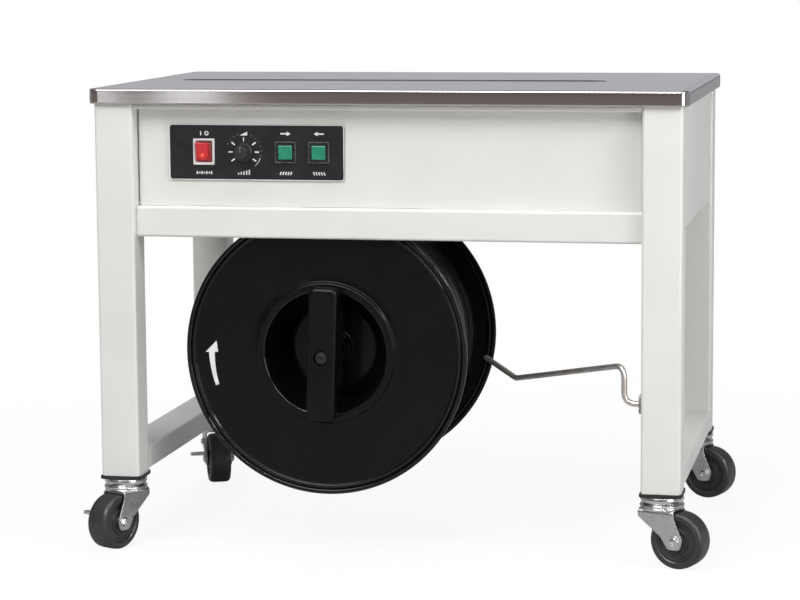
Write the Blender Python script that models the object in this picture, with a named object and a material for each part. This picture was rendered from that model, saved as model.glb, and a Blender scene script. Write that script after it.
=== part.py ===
"""Semi-automatic strapping machine: a steel stand on four casters, with a stainless table,
a front control panel, a strap reel below and a feed-and-seal head under the table slot.

Metres, +Z up, +X to the operator's right, -Y towards the operator.  The floor is Z = 0.
Every dimension is measured from the centre of the table; the root empty moves the whole
machine so that the middle of its footprint, casters included, is the origin.
"""

import math

import bmesh
import bpy
from mathutils import Matrix, Vector

# ---------------------------------------------------------------- driving dimensions
TABLE_WIDTH = 0.910
TABLE_DEPTH = 0.585
TABLE_HEIGHT = 0.710
FOOTPRINT_SHIFT = (-0.0036, 0.0184, 0.0)
GAP = 0.0003                     # clearance left between pieces that touch

SKIRT_HEIGHT = 0.023             # folded edge of the table sheet
TABLE_SHEET = 0.002
TABLE_RETURN = 0.020             # inward fold at the bottom of the skirt
TABLE_CORNER = 0.012
SLOT_LEFT, SLOT_RIGHT = -0.385, 0.295
SLOT_HALF_WIDTH = 0.0075
HINGE_RADIUS, HINGE_HALF_LENGTH = 0.0035, 0.300

OVERHANG = 0.008                 # table edge beyond the legs
LEG_WIDTH = 0.060
LEG_DEPTH = 0.053
LEG_WALL = 0.0025
LEG_BOTTOM = 0.111
RAIL_BOTTOM, RAIL_HEIGHT, RAIL_WALL = 0.115, 0.036, 0.002

PANEL_SHEET = 0.002
FRONT_PANEL_INSET = 0.025        # front panel behind the legs' front faces
FRONT_BAND_INSET = 0.0125
FRONT_LEDGE_INSET = 0.003
LEDGE_HEIGHT = 0.008
BAND_BOTTOM, BAND_TOP = 0.484, 0.531
SIDE_PANEL_INSET, SIDE_PANEL_BOTTOM = 0.003, 0.502
BACK_PANEL_INSET = 0.004
INLET_X, INLET_Z = 0.300, 0.560
DECK_BOTTOM, DECK_TOP = 0.5353, 0.5383

PLATE_LEFT, PLATE_RIGHT = -0.336, -0.063
PLATE_BOTTOM, PLATE_TOP = 0.571, 0.656
PLATE_SHEET = 0.0022
CONTROL_Z = 0.614
SWITCH_X, DIAL_X, FEED_X, RESET_X = -0.281, -0.219, -0.1535, -0.102

REEL_X, REEL_Z = -0.098, 0.308
REEL_RADIUS = 0.219
REEL_FRONT, REEL_BACK = -0.2497, 0.0160
CORE_RADIUS = 0.0985
COIL_RADIUS = 0.186
SHAFT_RADIUS = 0.010
LOCK_BAR_LEAN = math.radians(2.0)
WIRE_RADIUS = 0.0044             # the bent brake arm
ARM_UPRIGHT_X, ARM_UPRIGHT_TOP = 0.361, 0.3035

WHEEL_RADIUS, WHEEL_WIDTH = 0.0425, 0.034
CASTER_TRAIL = 0.030
AXLE_RADIUS = 0.005
BRAKE_PIVOT = (0.006, -0.0230, 0.068)    # along the trail, across it, above the floor
FORK_TOP = 0.0972
CASTERS = {                      # which side, which end, and the way the wheel trails in degrees
    "front_left": (-1, -1, -114.2),
    "front_right": (1, -1, -19.2),
    "back_left": (-1, 1, -68.0),
    "back_right": (1, 1, -19.2),
}
BRAKED = ("front_left", "back_left")

HEAD_X = -0.045                  # middle of the sealing head, under the slot
CAM_Z, CAM_RADIUS, CAM_THROW = 0.578, 0.020, 0.006
FOLLOWER_SPACING = 0.031
FOLLOWER_TOP = 0.6925
DRIVE_Z, BELT_Y = 0.597, 0.068
REDUCER_X, MOTOR_X = 0.115, 0.270
REDUCER_TOP = 0.640
REDUCER_PULLEY_RADIUS, MOTOR_PULLEY_RADIUS = 0.035, 0.020
ROLLER_X, ROLLER_Z = -0.175, 0.593
FEED_ROLLER_RADIUS, PINCH_ROLLER_RADIUS = 0.022, 0.017

# ---------------------------------------------------------------- worked-out places
HALF_W, HALF_D = TABLE_WIDTH / 2, TABLE_DEPTH / 2
SKIRT_BOTTOM = TABLE_HEIGHT - SKIRT_HEIGHT
FRAME_TOP = SKIRT_BOTTOM - GAP
LEG_OUT_X, LEG_OUT_Y = HALF_W - OVERHANG, HALF_D - OVERHANG
LEG_IN_X, LEG_IN_Y = LEG_OUT_X - LEG_WIDTH, LEG_OUT_Y - LEG_DEPTH
LEG_X, LEG_Y = LEG_OUT_X - LEG_WIDTH / 2, LEG_OUT_Y - LEG_DEPTH / 2
PANEL_Y = -LEG_OUT_Y + FRONT_PANEL_INSET
BACK_PANEL_Y = LEG_OUT_Y - BACK_PANEL_INSET
PLATE_FRONT = PANEL_Y - GAP - PLATE_SHEET
DECK_SEAT = DECK_TOP + GAP
HINGE_Y, HINGE_Z = HALF_D - 0.004, SKIRT_BOTTOM - 0.0045
ARM_PIVOT = (LEG_IN_X - 0.0045, -0.270, 0.246)
PINCH_Z = ROLLER_Z + FEED_ROLLER_RADIUS + PINCH_ROLLER_RADIUS + 0.0012

# ---------------------------------------------------------------- colours
PAINT = ("frame_paint", (0.77, 0.78, 0.74), 0.42, 0.0)
STAINLESS = ("stainless_sheet", (0.62, 0.62, 0.63), 0.28, 1.0)
ZINC = ("zinc_plate", (0.66, 0.67, 0.69), 0.30, 1.0)
STEEL = ("machined_steel", (0.55, 0.55, 0.56), 0.35, 1.0)
WIRE = ("stainless_wire", (0.60, 0.58, 0.56), 0.25, 1.0)
REEL = ("reel_plastic", (0.012, 0.012, 0.013), 0.45, 0.0)
STRAP = ("strap_plastic", (0.015, 0.015, 0.016), 0.30, 0.0)
TYRE = ("wheel_rubber", (0.035, 0.035, 0.038), 0.60, 0.0)
CAP = ("cap_plastic", (0.02, 0.02, 0.022), 0.55, 0.0)
FACE = ("control_face", (0.016, 0.017, 0.020), 0.35, 0.0)
BEZEL_WHITE = ("bezel_white", (0.75, 0.75, 0.74), 0.35, 0.0)
BEZEL_BLACK = ("bezel_black", (0.015, 0.015, 0.016), 0.30, 0.0)
ROCKER_RED = ("rocker_red", (0.60, 0.02, 0.03), 0.25, 0.0)
BUTTON_GREEN = ("button_green", (0.02, 0.26, 0.13), 0.30, 0.0)
CAST = ("cast_housing", (0.30, 0.33, 0.34), 0.55, 0.0)
BELT = ("drive_rubber", (0.02, 0.02, 0.02), 0.70, 0.0)
BOARD = ("circuit_board", (0.02, 0.16, 0.07), 0.45, 0.0)
COIL_CORE = ("transformer_core", (0.22, 0.16, 0.10), 0.50, 0.0)


# ---------------------------------------------------------------- shape helpers
def clear_scene():
    for old in list(bpy.data.objects):
        bpy.data.objects.remove(old, do_unlink=True)


def make_empty(name, location, parent=None, turn=0.0):
    """A parent for moving pieces, standing on their joint axis."""
    empty = bpy.data.objects.new(name, None)
    bpy.context.collection.objects.link(empty)
    empty.location = location
    empty.rotation_euler = (0.0, 0.0, turn)
    empty.parent = parent
    return empty


def mesh_object(bm, name="solid"):
    """Close a bmesh into an object with outward faces."""
    bmesh.ops.remove_doubles(bm, verts=bm.verts, dist=1e-7)
    bmesh.ops.recalc_face_normals(bm, faces=bm.faces)
    mesh = bpy.data.meshes.new(name)
    bm.to_mesh(mesh)
    bm.free()
    solid = bpy.data.objects.new(name, mesh)
    bpy.context.collection.objects.link(solid)
    return solid


def along(axis, a, b, h):
    """A point from two outline coordinates and a height, for the axis the height runs along."""
    return {"X": (h, a, b), "Y": (a, h, b), "Z": (a, b, h)}[axis]


def block(low, high):
    """A box between two corners."""
    bm = bmesh.new()
    size = [top - bottom for bottom, top in zip(low, high)]
    middle = [(top + bottom) / 2 for bottom, top in zip(low, high)]
    bmesh.ops.create_cube(bm, size=1.0, matrix=Matrix.Translation(middle) @ Matrix.Diagonal((*size, 1)))
    return mesh_object(bm)


def prism(outline, axis, start, end):
    """An outline swept straight along an axis: (y, z), (x, z) or (x, y) points for X, Y or Z."""
    bm = bmesh.new()
    near = [bm.verts.new(along(axis, a, b, start)) for a, b in outline]
    far = [bm.verts.new(along(axis, a, b, end)) for a, b in outline]
    bm.faces.new(near)
    bm.faces.new(far)
    for i in range(len(outline)):
        j = (i + 1) % len(outline)
        bm.faces.new((near[i], near[j], far[j], far[i]))
    return mesh_object(bm)


def arc(centre, radius, start, end, steps):
    """Points on an arc, by angles in degrees."""
    angles = [math.radians(start + (end - start) * i / steps) for i in range(steps + 1)]
    return [(centre[0] + radius * math.cos(t), centre[1] + radius * math.sin(t)) for t in angles]


def rounded_rectangle(half_a, half_b, radius, steps=4):
    """A centred rectangle outline with round corners."""
    outline = []
    for sign_a, sign_b, start in ((1, 1, 0), (-1, 1, 90), (-1, -1, 180), (1, -1, 270)):
        centre = (sign_a * (half_a - radius), sign_b * (half_b - radius))
        outline += arc(centre, radius, start, start + 90, steps)
    return outline


def turned(profile, axis, centre, segments):
    """A closed profile of (radius, height) points turned round an axis through centre."""
    bm = bmesh.new()
    rings = []
    for radius, height in profile:
        count = segments if radius > 1e-6 else 1
        ring = []
        for i in range(count):
            t = 2 * math.pi * i / segments
            point = Vector(along(axis, radius * math.cos(t), radius * math.sin(t), height))
            ring.append(bm.verts.new(point + Vector(centre)))
        rings.append(ring)
    for ring, following in zip(rings, rings[1:] + rings[:1]):
        for i in range(segments):
            j = (i + 1) % segments
            corners = [ring[i % len(ring)], ring[j % len(ring)],
                       following[j % len(following)], following[i % len(following)]]
            distinct = list(dict.fromkeys(corners))
            if len(distinct) > 2:
                bm.faces.new(distinct)
    return mesh_object(bm)


def rod(axis, centre, radius, start, end, segments=24):
    """A round bar along an axis; start and end are places on that axis."""
    profile = [(0, start), (radius, start), (radius, end), (0, end)]
    flat = list(centre)
    flat["XYZ".index(axis)] = 0.0
    return turned(profile[::-1], axis, flat, segments)


def rounded_path(corners, radius, steps=5):
    """A line through the corner points with each inner corner rounded off."""
    points = [Vector(corners[0])]
    for before, corner, after in zip(corners, corners[1:], corners[2:]):
        corner = Vector(corner)
        back = (Vector(before) - corner).normalized()
        ahead = (Vector(after) - corner).normalized()
        reach = radius / math.tan(back.angle(ahead) / 2)
        for i in range(steps + 1):
            t = i / steps
            a = corner + back * reach * (1 - t)
            b = corner + ahead * reach * t
            points.append(a.lerp(b, t))
    points.append(Vector(corners[-1]))
    return points


def boolean(operation, base, *tools):
    """Join tools to a solid, or cut them out of it, and return the solid."""
    for tool in tools:
        step = base.modifiers.new(operation.title(), "BOOLEAN")
        step.operation = operation
        step.solver = "EXACT"
        step.object = tool
    graph = bpy.context.evaluated_depsgraph_get()
    base.data = bpy.data.meshes.new_from_object(base.evaluated_get(graph))
    base.modifiers.clear()
    for tool in tools:
        bpy.data.objects.remove(tool, do_unlink=True)
    return base


def join(base, *tools):
    return boolean("UNION", base, *tools)


def cut(base, *tools):
    return boolean("DIFFERENCE", base, *tools)


def material_for(look):
    """One Principled material for each finish."""
    name, colour, roughness, metallic = look
    material = bpy.data.materials.get(name)
    if material is None:
        material = bpy.data.materials.new(name)
        material.use_nodes = True
        shader = material.node_tree.nodes["Principled BSDF"]
        shader.inputs["Base Color"].default_value = (*colour, 1.0)
        shader.inputs["Roughness"].default_value = roughness
        shader.inputs["Metallic"].default_value = metallic
        material.diffuse_color = (*colour, 1.0)
    return material


def piece(name, solid, look, parent, pivot=(0.0, 0.0, 0.0), smooth=False):
    """Name a finished solid, put its origin on its pivot and give it its finish."""
    solid.name = name
    solid.data.name = name
    solid.data.transform(Matrix.Translation(-Vector(pivot)))
    solid.location = pivot
    solid.parent = parent
    solid.data.materials.clear()
    solid.data.materials.append(material_for(look))
    if smooth:
        solid.data.shade_smooth()
        solid.data.set_sharp_from_angle(angle=math.radians(35))
    return solid


# ---------------------------------------------------------------- stand
def build_legs(root):
    """Four hollow legs, closed at the foot; the front right one carries the arm's small plate."""
    for side, sx in (("left", -1), ("right", 1)):
        for end, sy in (("front", -1), ("back", 1)):
            x, y = sx * LEG_X, sy * LEG_Y
            half_x, half_y = LEG_WIDTH / 2, LEG_DEPTH / 2
            leg = block((x - half_x, y - half_y, LEG_BOTTOM), (x + half_x, y + half_y, FRAME_TOP))
            bore = block((x - half_x + LEG_WALL, y - half_y + LEG_WALL, LEG_BOTTOM + LEG_WALL),
                         (x + half_x - LEG_WALL, y + half_y - LEG_WALL, TABLE_HEIGHT))
            leg = cut(leg, bore)
            if (side, end) == ("right", "front"):
                leg = join(leg, arm_plate())
            piece(f"leg_{end}_{side}", leg, PAINT, root)


def arm_plate():
    """A flat plate welded on the leg's inner face, where the wire arm turns."""
    y, z = ARM_PIVOT[1], ARM_PIVOT[2]
    return block((LEG_IN_X - 0.0030, y - 0.012, z - 0.013), (LEG_IN_X + 0.0010, y + 0.009, z + 0.013))


def build_rails(root):
    """A square tube between the front and back legs on each side."""
    reach = LEG_IN_Y - GAP
    for side, sx in (("left", -1), ("right", 1)):
        x = sx * LEG_X
        half = LEG_WIDTH / 2
        tube = block((x - half, -reach, RAIL_BOTTOM), (x + half, reach, RAIL_BOTTOM + RAIL_HEIGHT))
        bore = block((x - half + RAIL_WALL, -TABLE_DEPTH, RAIL_BOTTOM + RAIL_WALL),
                     (x + half - RAIL_WALL, TABLE_DEPTH, RAIL_BOTTOM + RAIL_HEIGHT - RAIL_WALL))
        piece(f"rail_{side}", cut(tube, bore), PAINT, root)


def build_panels(root):
    """Sheet panels round the machine space, and the deck that carries the mechanism."""
    reach_x = LEG_IN_X - GAP
    reach_y = LEG_IN_Y - GAP

    back_of_panel = PANEL_Y + PANEL_SHEET
    ledge_front = -LEG_OUT_Y + FRONT_LEDGE_INSET
    front_outline = [(back_of_panel, BAND_TOP + GAP), (PANEL_Y, BAND_TOP + GAP),
                     (PANEL_Y, FRAME_TOP - LEDGE_HEIGHT), (ledge_front, FRAME_TOP - LEDGE_HEIGHT),
                     (ledge_front, FRAME_TOP), (back_of_panel, FRAME_TOP)]
    front = prism(front_outline, "X", -reach_x, reach_x)
    cutters = [control_cutter(SWITCH_X, 0.0150, 0.0190), control_cutter(DIAL_X, 0.0040, 0.0040),
               control_cutter(FEED_X, 0.0136, 0.0136), control_cutter(RESET_X, 0.0136, 0.0136)]
    piece("front_panel", cut(front, *cutters), PAINT, root)

    band_front = -LEG_OUT_Y + FRONT_BAND_INSET
    band_back = back_of_panel - GAP
    inner = band_front + PANEL_SHEET
    band_outline = [(band_front, BAND_BOTTOM), (band_back, BAND_BOTTOM),
                    (band_back, BAND_BOTTOM + PANEL_SHEET), (inner, BAND_BOTTOM + PANEL_SHEET),
                    (inner, BAND_TOP - PANEL_SHEET), (band_back, BAND_TOP - PANEL_SHEET),
                    (band_back, BAND_TOP), (band_front, BAND_TOP)]
    piece("front_band", prism(band_outline, "X", -reach_x, reach_x), PAINT, root)

    for side, sx in (("left", -1), ("right", 1)):
        outer = sx * (LEG_OUT_X - SIDE_PANEL_INSET)
        inner = outer - sx * PANEL_SHEET
        flange = outer - sx * 0.012
        low = SIDE_PANEL_BOTTOM
        outline = [(outer, low), (outer, FRAME_TOP), (inner, FRAME_TOP), (inner, low + PANEL_SHEET),
                   (flange, low + PANEL_SHEET), (flange, low)]
        piece(f"side_panel_{side}", prism(outline, "Y", -reach_y, reach_y), PAINT, root)

    back = block((-reach_x, BACK_PANEL_Y - PANEL_SHEET, SIDE_PANEL_BOTTOM),
                 (reach_x, BACK_PANEL_Y, FRAME_TOP))
    hole = block((INLET_X - 0.0145, BACK_PANEL_Y - 0.05, INLET_Z - 0.0105),
                 (INLET_X + 0.0145, BACK_PANEL_Y + 0.05, INLET_Z + 0.0105))
    piece("back_panel", cut(back, hole), PAINT, root)

    wide = LEG_OUT_X - SIDE_PANEL_INSET - PANEL_SHEET - GAP
    front_y = back_of_panel + GAP
    back_y = BACK_PANEL_Y - PANEL_SHEET - GAP
    deck_outline = [(-wide, -reach_y), (-reach_x, -reach_y), (-reach_x, front_y), (reach_x, front_y),
                    (reach_x, -reach_y), (wide, -reach_y), (wide, reach_y), (reach_x, reach_y),
                    (reach_x, back_y), (-reach_x, back_y), (-reach_x, reach_y), (-wide, reach_y)]
    deck = prism(deck_outline, "Z", DECK_BOTTOM, DECK_TOP)
    strap_hole = block((ROLLER_X - 0.040, -0.016, 0.5), (ROLLER_X - 0.006, 0.016, 0.6))
    piece("base_deck", cut(deck, strap_hole), PAINT, root)


def build_power_inlet(root):
    """A three-pin mains inlet in the back panel, with no cord in it."""
    flange = block((INLET_X - 0.020, BACK_PANEL_Y + GAP, INLET_Z - 0.015),
                   (INLET_X + 0.020, BACK_PANEL_Y + 0.0033, INLET_Z + 0.015))
    body = block((INLET_X - 0.0140, BACK_PANEL_Y - 0.020, INLET_Z - 0.0100),
                 (INLET_X + 0.0140, BACK_PANEL_Y + 0.0013, INLET_Z + 0.0100))
    socket = block((INLET_X - 0.0115, BACK_PANEL_Y - 0.014, INLET_Z - 0.0070),
                   (INLET_X + 0.0115, BACK_PANEL_Y + 0.05, INLET_Z + 0.0070))
    piece("power_inlet", cut(join(flange, body), socket), BEZEL_BLACK, root)


# ---------------------------------------------------------------- table
def build_table(root):
    """One folded stainless sheet with a strap slot; it opens on a hinge along its back edge."""
    inner_w, inner_d = HALF_W - TABLE_SHEET, HALF_D - TABLE_SHEET
    top = prism(rounded_rectangle(HALF_W, HALF_D, TABLE_CORNER), "Z", SKIRT_BOTTOM, TABLE_HEIGHT)
    hollow = prism(rounded_rectangle(inner_w, inner_d, TABLE_CORNER - TABLE_SHEET), "Z",
                   SKIRT_BOTTOM + TABLE_SHEET, TABLE_HEIGHT - TABLE_SHEET)
    mouth = block((-HALF_W + TABLE_RETURN, -HALF_D + TABLE_RETURN, SKIRT_BOTTOM - 0.01),
                  (HALF_W - TABLE_RETURN, HALF_D - TABLE_RETURN, SKIRT_BOTTOM + 0.01))
    taper = 0.012
    slot_outline = [(SLOT_LEFT, 0.0), (SLOT_LEFT + taper, -SLOT_HALF_WIDTH),
                    (SLOT_RIGHT - taper, -SLOT_HALF_WIDTH), (SLOT_RIGHT, 0.0),
                    (SLOT_RIGHT - taper, SLOT_HALF_WIDTH), (SLOT_LEFT + taper, SLOT_HALF_WIDTH)]
    slot = prism(slot_outline, "Z", TABLE_HEIGHT - 0.01, TABLE_HEIGHT + 0.01)
    hinge_axis = (0.0, HINGE_Y, HINGE_Z)
    piece("table_top", cut(top, join(hollow, mouth), slot), STAINLESS, root, hinge_axis)

    leaf_front = BACK_PANEL_Y + GAP
    leaf = [(leaf_front, HINGE_Z - 0.020), (leaf_front + 0.0015, HINGE_Z - 0.020),
            (leaf_front + 0.0015, HINGE_Z - 0.003), (HINGE_Y, HINGE_Z - 0.003),
            (HINGE_Y, HINGE_Z + 0.001), (leaf_front, HINGE_Z + 0.001)]
    length = HINGE_HALF_LENGTH
    hinge = join(prism(leaf, "X", -length, length),
                 rod("X", hinge_axis, HINGE_RADIUS, -length - 0.001, length + 0.001, 16))
    piece("table_hinge", hinge, ZINC, root)


# ---------------------------------------------------------------- controls
def control_cutter(x, half_x, half_z):
    """The hole through panel and plate for one control."""
    return block((x - half_x, PLATE_FRONT - 0.02, CONTROL_Z - half_z),
                 (x + half_x, PANEL_Y + 0.02, CONTROL_Z + half_z))


def bezel(x, half_x, half_z, wall, proud):
    """A square frame on the plate with a collar that passes back through the panel."""
    front = PLATE_FRONT - GAP - proud
    frame = block((x - half_x, front, CONTROL_Z - half_z), (x + half_x, PLATE_FRONT - GAP, CONTROL_Z + half_z))
    neck_x, neck_z = half_x - wall + 0.0015, half_z - wall + 0.0015
    neck = block((x - neck_x, front + 0.001, CONTROL_Z - neck_z),
                 (x + neck_x, PANEL_Y + 0.010, CONTROL_Z + neck_z))
    hole = block((x - half_x + wall, front - 0.01, CONTROL_Z - half_z + wall),
                 (x + half_x - wall, PANEL_Y + 0.02, CONTROL_Z + half_z - wall))
    return cut(join(frame, neck), hole)


def build_controls(root):
    """The black plate with its mains rocker, feed-length dial and two push buttons."""
    plate = block((PLATE_LEFT, PLATE_FRONT, PLATE_BOTTOM), (PLATE_RIGHT, PANEL_Y - GAP, PLATE_TOP))
    cutters = [control_cutter(SWITCH_X, 0.0150, 0.0190), control_cutter(DIAL_X, 0.0040, 0.0040),
               control_cutter(FEED_X, 0.0136, 0.0136), control_cutter(RESET_X, 0.0136, 0.0136)]
    piece("control_plate", cut(plate, *cutters), FACE, root)

    piece("switch_bezel", bezel(SWITCH_X, 0.0170, 0.0205, 0.0035, 0.0030), BEZEL_WHITE, root)
    pivot = (SWITCH_X, PLATE_FRONT, CONTROL_Z)
    y, z = PLATE_FRONT, CONTROL_Z
    rocker_outline = [(y - 0.0090, z + 0.0150), (y - 0.0050, z + 0.0010), (y - 0.0040, z - 0.0155),
                      (y + 0.0050, z - 0.0135), (y + 0.0050, z + 0.0120)]
    rocker = prism(rocker_outline, "X", SWITCH_X - 0.0130, SWITCH_X + 0.0130)
    piece("power_rocker", rocker, ROCKER_RED, root, pivot)

    dial_front = PLATE_FRONT - 0.0220
    profile = [(0.0, PANEL_Y + 0.012), (0.0034, PANEL_Y + 0.012), (0.0034, PLATE_FRONT - 0.0006),
               (0.0145, PLATE_FRONT - 0.0006), (0.0145, PLATE_FRONT - 0.0040),
               (0.0120, PLATE_FRONT - 0.0070), (0.0108, dial_front + 0.0012),
               (0.0096, dial_front), (0.0, dial_front)]
    centre = (DIAL_X, 0.0, CONTROL_Z)
    piece("feed_length_dial", turned(profile, "Y", centre, 24), CAP, root,
          (DIAL_X, PLATE_FRONT, CONTROL_Z), smooth=True)

    for name, x in (("feed", FEED_X), ("reset", RESET_X)):
        piece(f"{name}_bezel", bezel(x, 0.0168, 0.0168, 0.0055, 0.0035), BEZEL_BLACK, root)
        button = block((x - 0.0106, PLATE_FRONT - 0.0055, CONTROL_Z - 0.0106),
                       (x + 0.0106, PANEL_Y + 0.006, CONTROL_Z + 0.0106))
        piece(f"{name}_button", button, BUTTON_GREEN, root, (x, PLATE_FRONT, CONTROL_Z))


# ---------------------------------------------------------------- strap reel
def build_reel(root):
    """A reel on a fixed shaft: drum with back flange, coil, front flange and lock bar."""
    centre = (REEL_X, 0.0, REEL_Z)
    spin = make_empty("reel_axis", centre, root)
    local = (0.0, 0.0, 0.0)

    plate_front, plate_back = 0.030, 0.036
    half = 0.040
    web = prism([*arc((REEL_X, REEL_Z), half, 180, 360, 12), (REEL_X + half, DECK_BOTTOM - GAP),
                 (REEL_X - half, DECK_BOTTOM - GAP)], "Y", plate_front, plate_back)
    foot = block((REEL_X - half, plate_front + 0.001, DECK_BOTTOM - GAP - 0.005),
                 (REEL_X + half, 0.100, DECK_BOTTOM - GAP))
    gusset = prism([(plate_back - 0.001, 0.420), (0.090, DECK_BOTTOM - 0.003),
                    (plate_back - 0.001, DECK_BOTTOM - 0.003)], "X", REEL_X - 0.003, REEL_X + 0.003)
    shaft = rod("Y", centre, SHAFT_RADIUS, -0.1755, 0.033)
    collar = rod("Y", centre, 0.018, 0.0170, 0.031)
    piece("reel_bracket", join(web, foot, gusset, shaft, collar), STEEL, root, smooth=True)

    bore = SHAFT_RADIUS + 0.0005
    rim = 0.006
    back = REEL_BACK
    drum = [(bore, -0.1760), (0.022, -0.1760), (0.022, back - 0.004), (CORE_RADIUS - 0.003, back - 0.004),
            (CORE_RADIUS - 0.003, -0.2455), (CORE_RADIUS, -0.2455), (CORE_RADIUS, back - 0.004),
            (REEL_RADIUS - rim, back - 0.004), (REEL_RADIUS - rim, back - 0.0065),
            (REEL_RADIUS, back - 0.0065), (REEL_RADIUS, back + 0.0005),
            (REEL_RADIUS - rim, back + 0.0005), (REEL_RADIUS - rim, back - 0.0010), (bore, back - 0.0010)]
    piece("reel_drum", turned(drum, "Y", local, 48), REEL, spin, smooth=True)

    coil_front = REEL_FRONT + 0.0055
    coil = [(CORE_RADIUS + GAP, coil_front), (COIL_RADIUS, coil_front), (COIL_RADIUS, back - 0.0043),
            (CORE_RADIUS + GAP, back - 0.0043)]
    piece("strap_coil", turned(coil, "Y", local, 48), STRAP, spin, smooth=True)

    front = REEL_FRONT
    floor = -0.184
    post = SHAFT_RADIUS + 0.0008
    flange = [(REEL_RADIUS - rim, front), (REEL_RADIUS - rim, front - 0.0028), (REEL_RADIUS, front - 0.0028),
              (REEL_RADIUS, front + 0.0050), (REEL_RADIUS - rim, front + 0.0050),
              (REEL_RADIUS - rim, front + 0.0030), (0.0935, front + 0.0030), (0.0690, floor + 0.003),
              (post, floor + 0.003), (post, floor - 0.020), (0.018, floor - 0.020), (0.018, floor - 0.008),
              (0.025, floor - 0.008), (0.025, floor), (0.067, floor), (0.0915, front - 0.0028),
              (0.094, front - 0.0040), (0.106, front - 0.0040), (0.108, front)]
    piece("front_flange", turned(flange, "Y", local, 48), REEL, spin, smooth=True)

    bar_back = front - 0.0045
    bar_front = bar_back - 0.027
    half_w, half_l = 0.0225, 0.103
    bar = prism(rounded_rectangle(half_w, half_l, 0.008, 3), "Y", bar_front, bar_back)
    web = prism([(bar_back - 0.002, 0.0880), (-0.212, 0.0725), (-0.212, -0.0725),
                 (bar_back - 0.002, -0.0880)], "X", -0.020, 0.020)
    stem = rod("Y", local, SHAFT_RADIUS, -0.1782, -0.213, 24)
    lock = join(bar, web, stem)
    lock.data.transform(Matrix.Rotation(LOCK_BAR_LEAN, 4, "Y"))
    piece("lock_bar", lock, REEL, spin, smooth=True)


def build_brake_arm(root):
    """A bent wire that turns in the plate on the front right leg and lies on the strap path."""
    tip_x = REEL_X + 0.212
    y, z = ARM_PIVOT[1], ARM_PIVOT[2]
    corners = [(tip_x, -0.030, 0.272), (0.1674, -0.075, 0.2473), (ARM_UPRIGHT_X, y, ARM_UPRIGHT_TOP),
               (ARM_UPRIGHT_X, y, z), (LEG_IN_X - 0.0036, y, z)]
    route = rounded_path(corners, 0.018)
    curve = bpy.data.curves.new("brake_arm", "CURVE")
    curve.dimensions = "3D"
    curve.bevel_depth = WIRE_RADIUS
    curve.bevel_resolution = 2
    curve.use_fill_caps = True
    spline = curve.splines.new("POLY")
    spline.points.add(len(route) - 1)
    for node, place in zip(spline.points, route):
        node.co = (*place, 1.0)
    wire = bpy.data.objects.new("brake_arm", curve)
    bpy.context.collection.objects.link(wire)
    graph = bpy.context.evaluated_depsgraph_get()
    mesh = bpy.data.meshes.new_from_object(wire.evaluated_get(graph))
    bpy.data.objects.remove(wire, do_unlink=True)
    solid = bpy.data.objects.new("brake_arm", mesh)
    bpy.context.collection.objects.link(solid)
    piece("brake_arm", solid, WIRE, root, ARM_PIVOT, smooth=True)


# ---------------------------------------------------------------- casters
def caster_mount():
    """The cap under the leg, the fixed bearing ring and the rivet that the fork turns on."""
    cap = prism(rounded_rectangle(LEG_WIDTH / 2 + 0.002, LEG_DEPTH / 2 + 0.002, 0.004, 2), "Z",
                0.1078, LEG_BOTTOM - GAP)
    profile = [(0.0, 0.1080), (0.0285, 0.1080), (0.0285, 0.1000), (0.0265, 0.0976), (0.0058, 0.0976),
               (0.0058, 0.0864), (0.0100, 0.0864), (0.0085, 0.0850), (0.0, 0.0850)]
    return join(cap, turned(profile, "Z", (0.0, 0.0, 0.0), 20))


def caster_fork():
    """A pressed fork: bearing ring, crown, two cheeks and the riveted axle, trailing along +X."""
    ring = [(0.0064, FORK_TOP), (0.0270, FORK_TOP), (0.0300, 0.0945), (0.0300, 0.0890),
            (0.0290, 0.0868), (0.0064, 0.0868)]
    fork = turned(ring, "Z", (0.0, 0.0, 0.0), 20)
    cheek = [(-0.026, 0.0895), (-0.026, 0.0780),
             *arc((CASTER_TRAIL, WHEEL_RADIUS), 0.0110, 215, 375, 6), (0.022, 0.0895)]
    outer, sheet = 0.0215, 0.0025
    crown = block((-0.0255, -outer, 0.0871), (0.021, outer, 0.0892))
    bore = rod("Z", (0.0, 0.0, 0.0), 0.0064, 0.05, 0.12, 20)
    near = prism(cheek, "Y", -outer, -outer + sheet)
    far = prism(cheek, "Y", outer - sheet, outer)
    axle = rod("Y", (CASTER_TRAIL, 0.0, WHEEL_RADIUS), AXLE_RADIUS, -outer - 0.002, outer + 0.002, 12)
    return join(join(fork, cut(crown, bore)), near, far, axle)


def caster_wheel():
    """A solid wheel with a raised tyre and a stepped hub, turned round the axle."""
    half = WHEEL_WIDTH / 2
    one_side = [(AXLE_RADIUS + 0.0004, half + 0.0010), (0.0110, half + 0.0010), (0.0125, half - 0.0030),
                (0.0300, half - 0.0030), (0.0320, half), (0.0375, half), (WHEEL_RADIUS, half - 0.0045)]
    profile = one_side + [(radius, -height) for radius, height in reversed(one_side)]
    return turned(profile, "Y", (0.0, 0.0, 0.0), 24)


def caster_brake():
    """A lever on the outside of one cheek, with a pointed foot tab that sticks out sideways."""
    u, v, z = BRAKE_PIVOT
    inner, sheet = v + 0.0012, 0.0022
    arm = [*arc((u, z), 0.0075, 20, 250, 8), (0.034, 0.0530), (0.046, 0.0500), (0.048, 0.0560)]
    plate = prism(arm, "Y", inner - sheet, inner)
    tab_outline = [(0.034, inner - 0.001), (0.034, inner - 0.014), (0.040, inner - 0.030),
                   (0.044, inner - 0.030), (0.047, inner - 0.014), (0.047, inner - 0.001)]
    tab = prism(tab_outline, "Z", 0.0515, 0.0540)
    return join(plate, tab)


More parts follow.
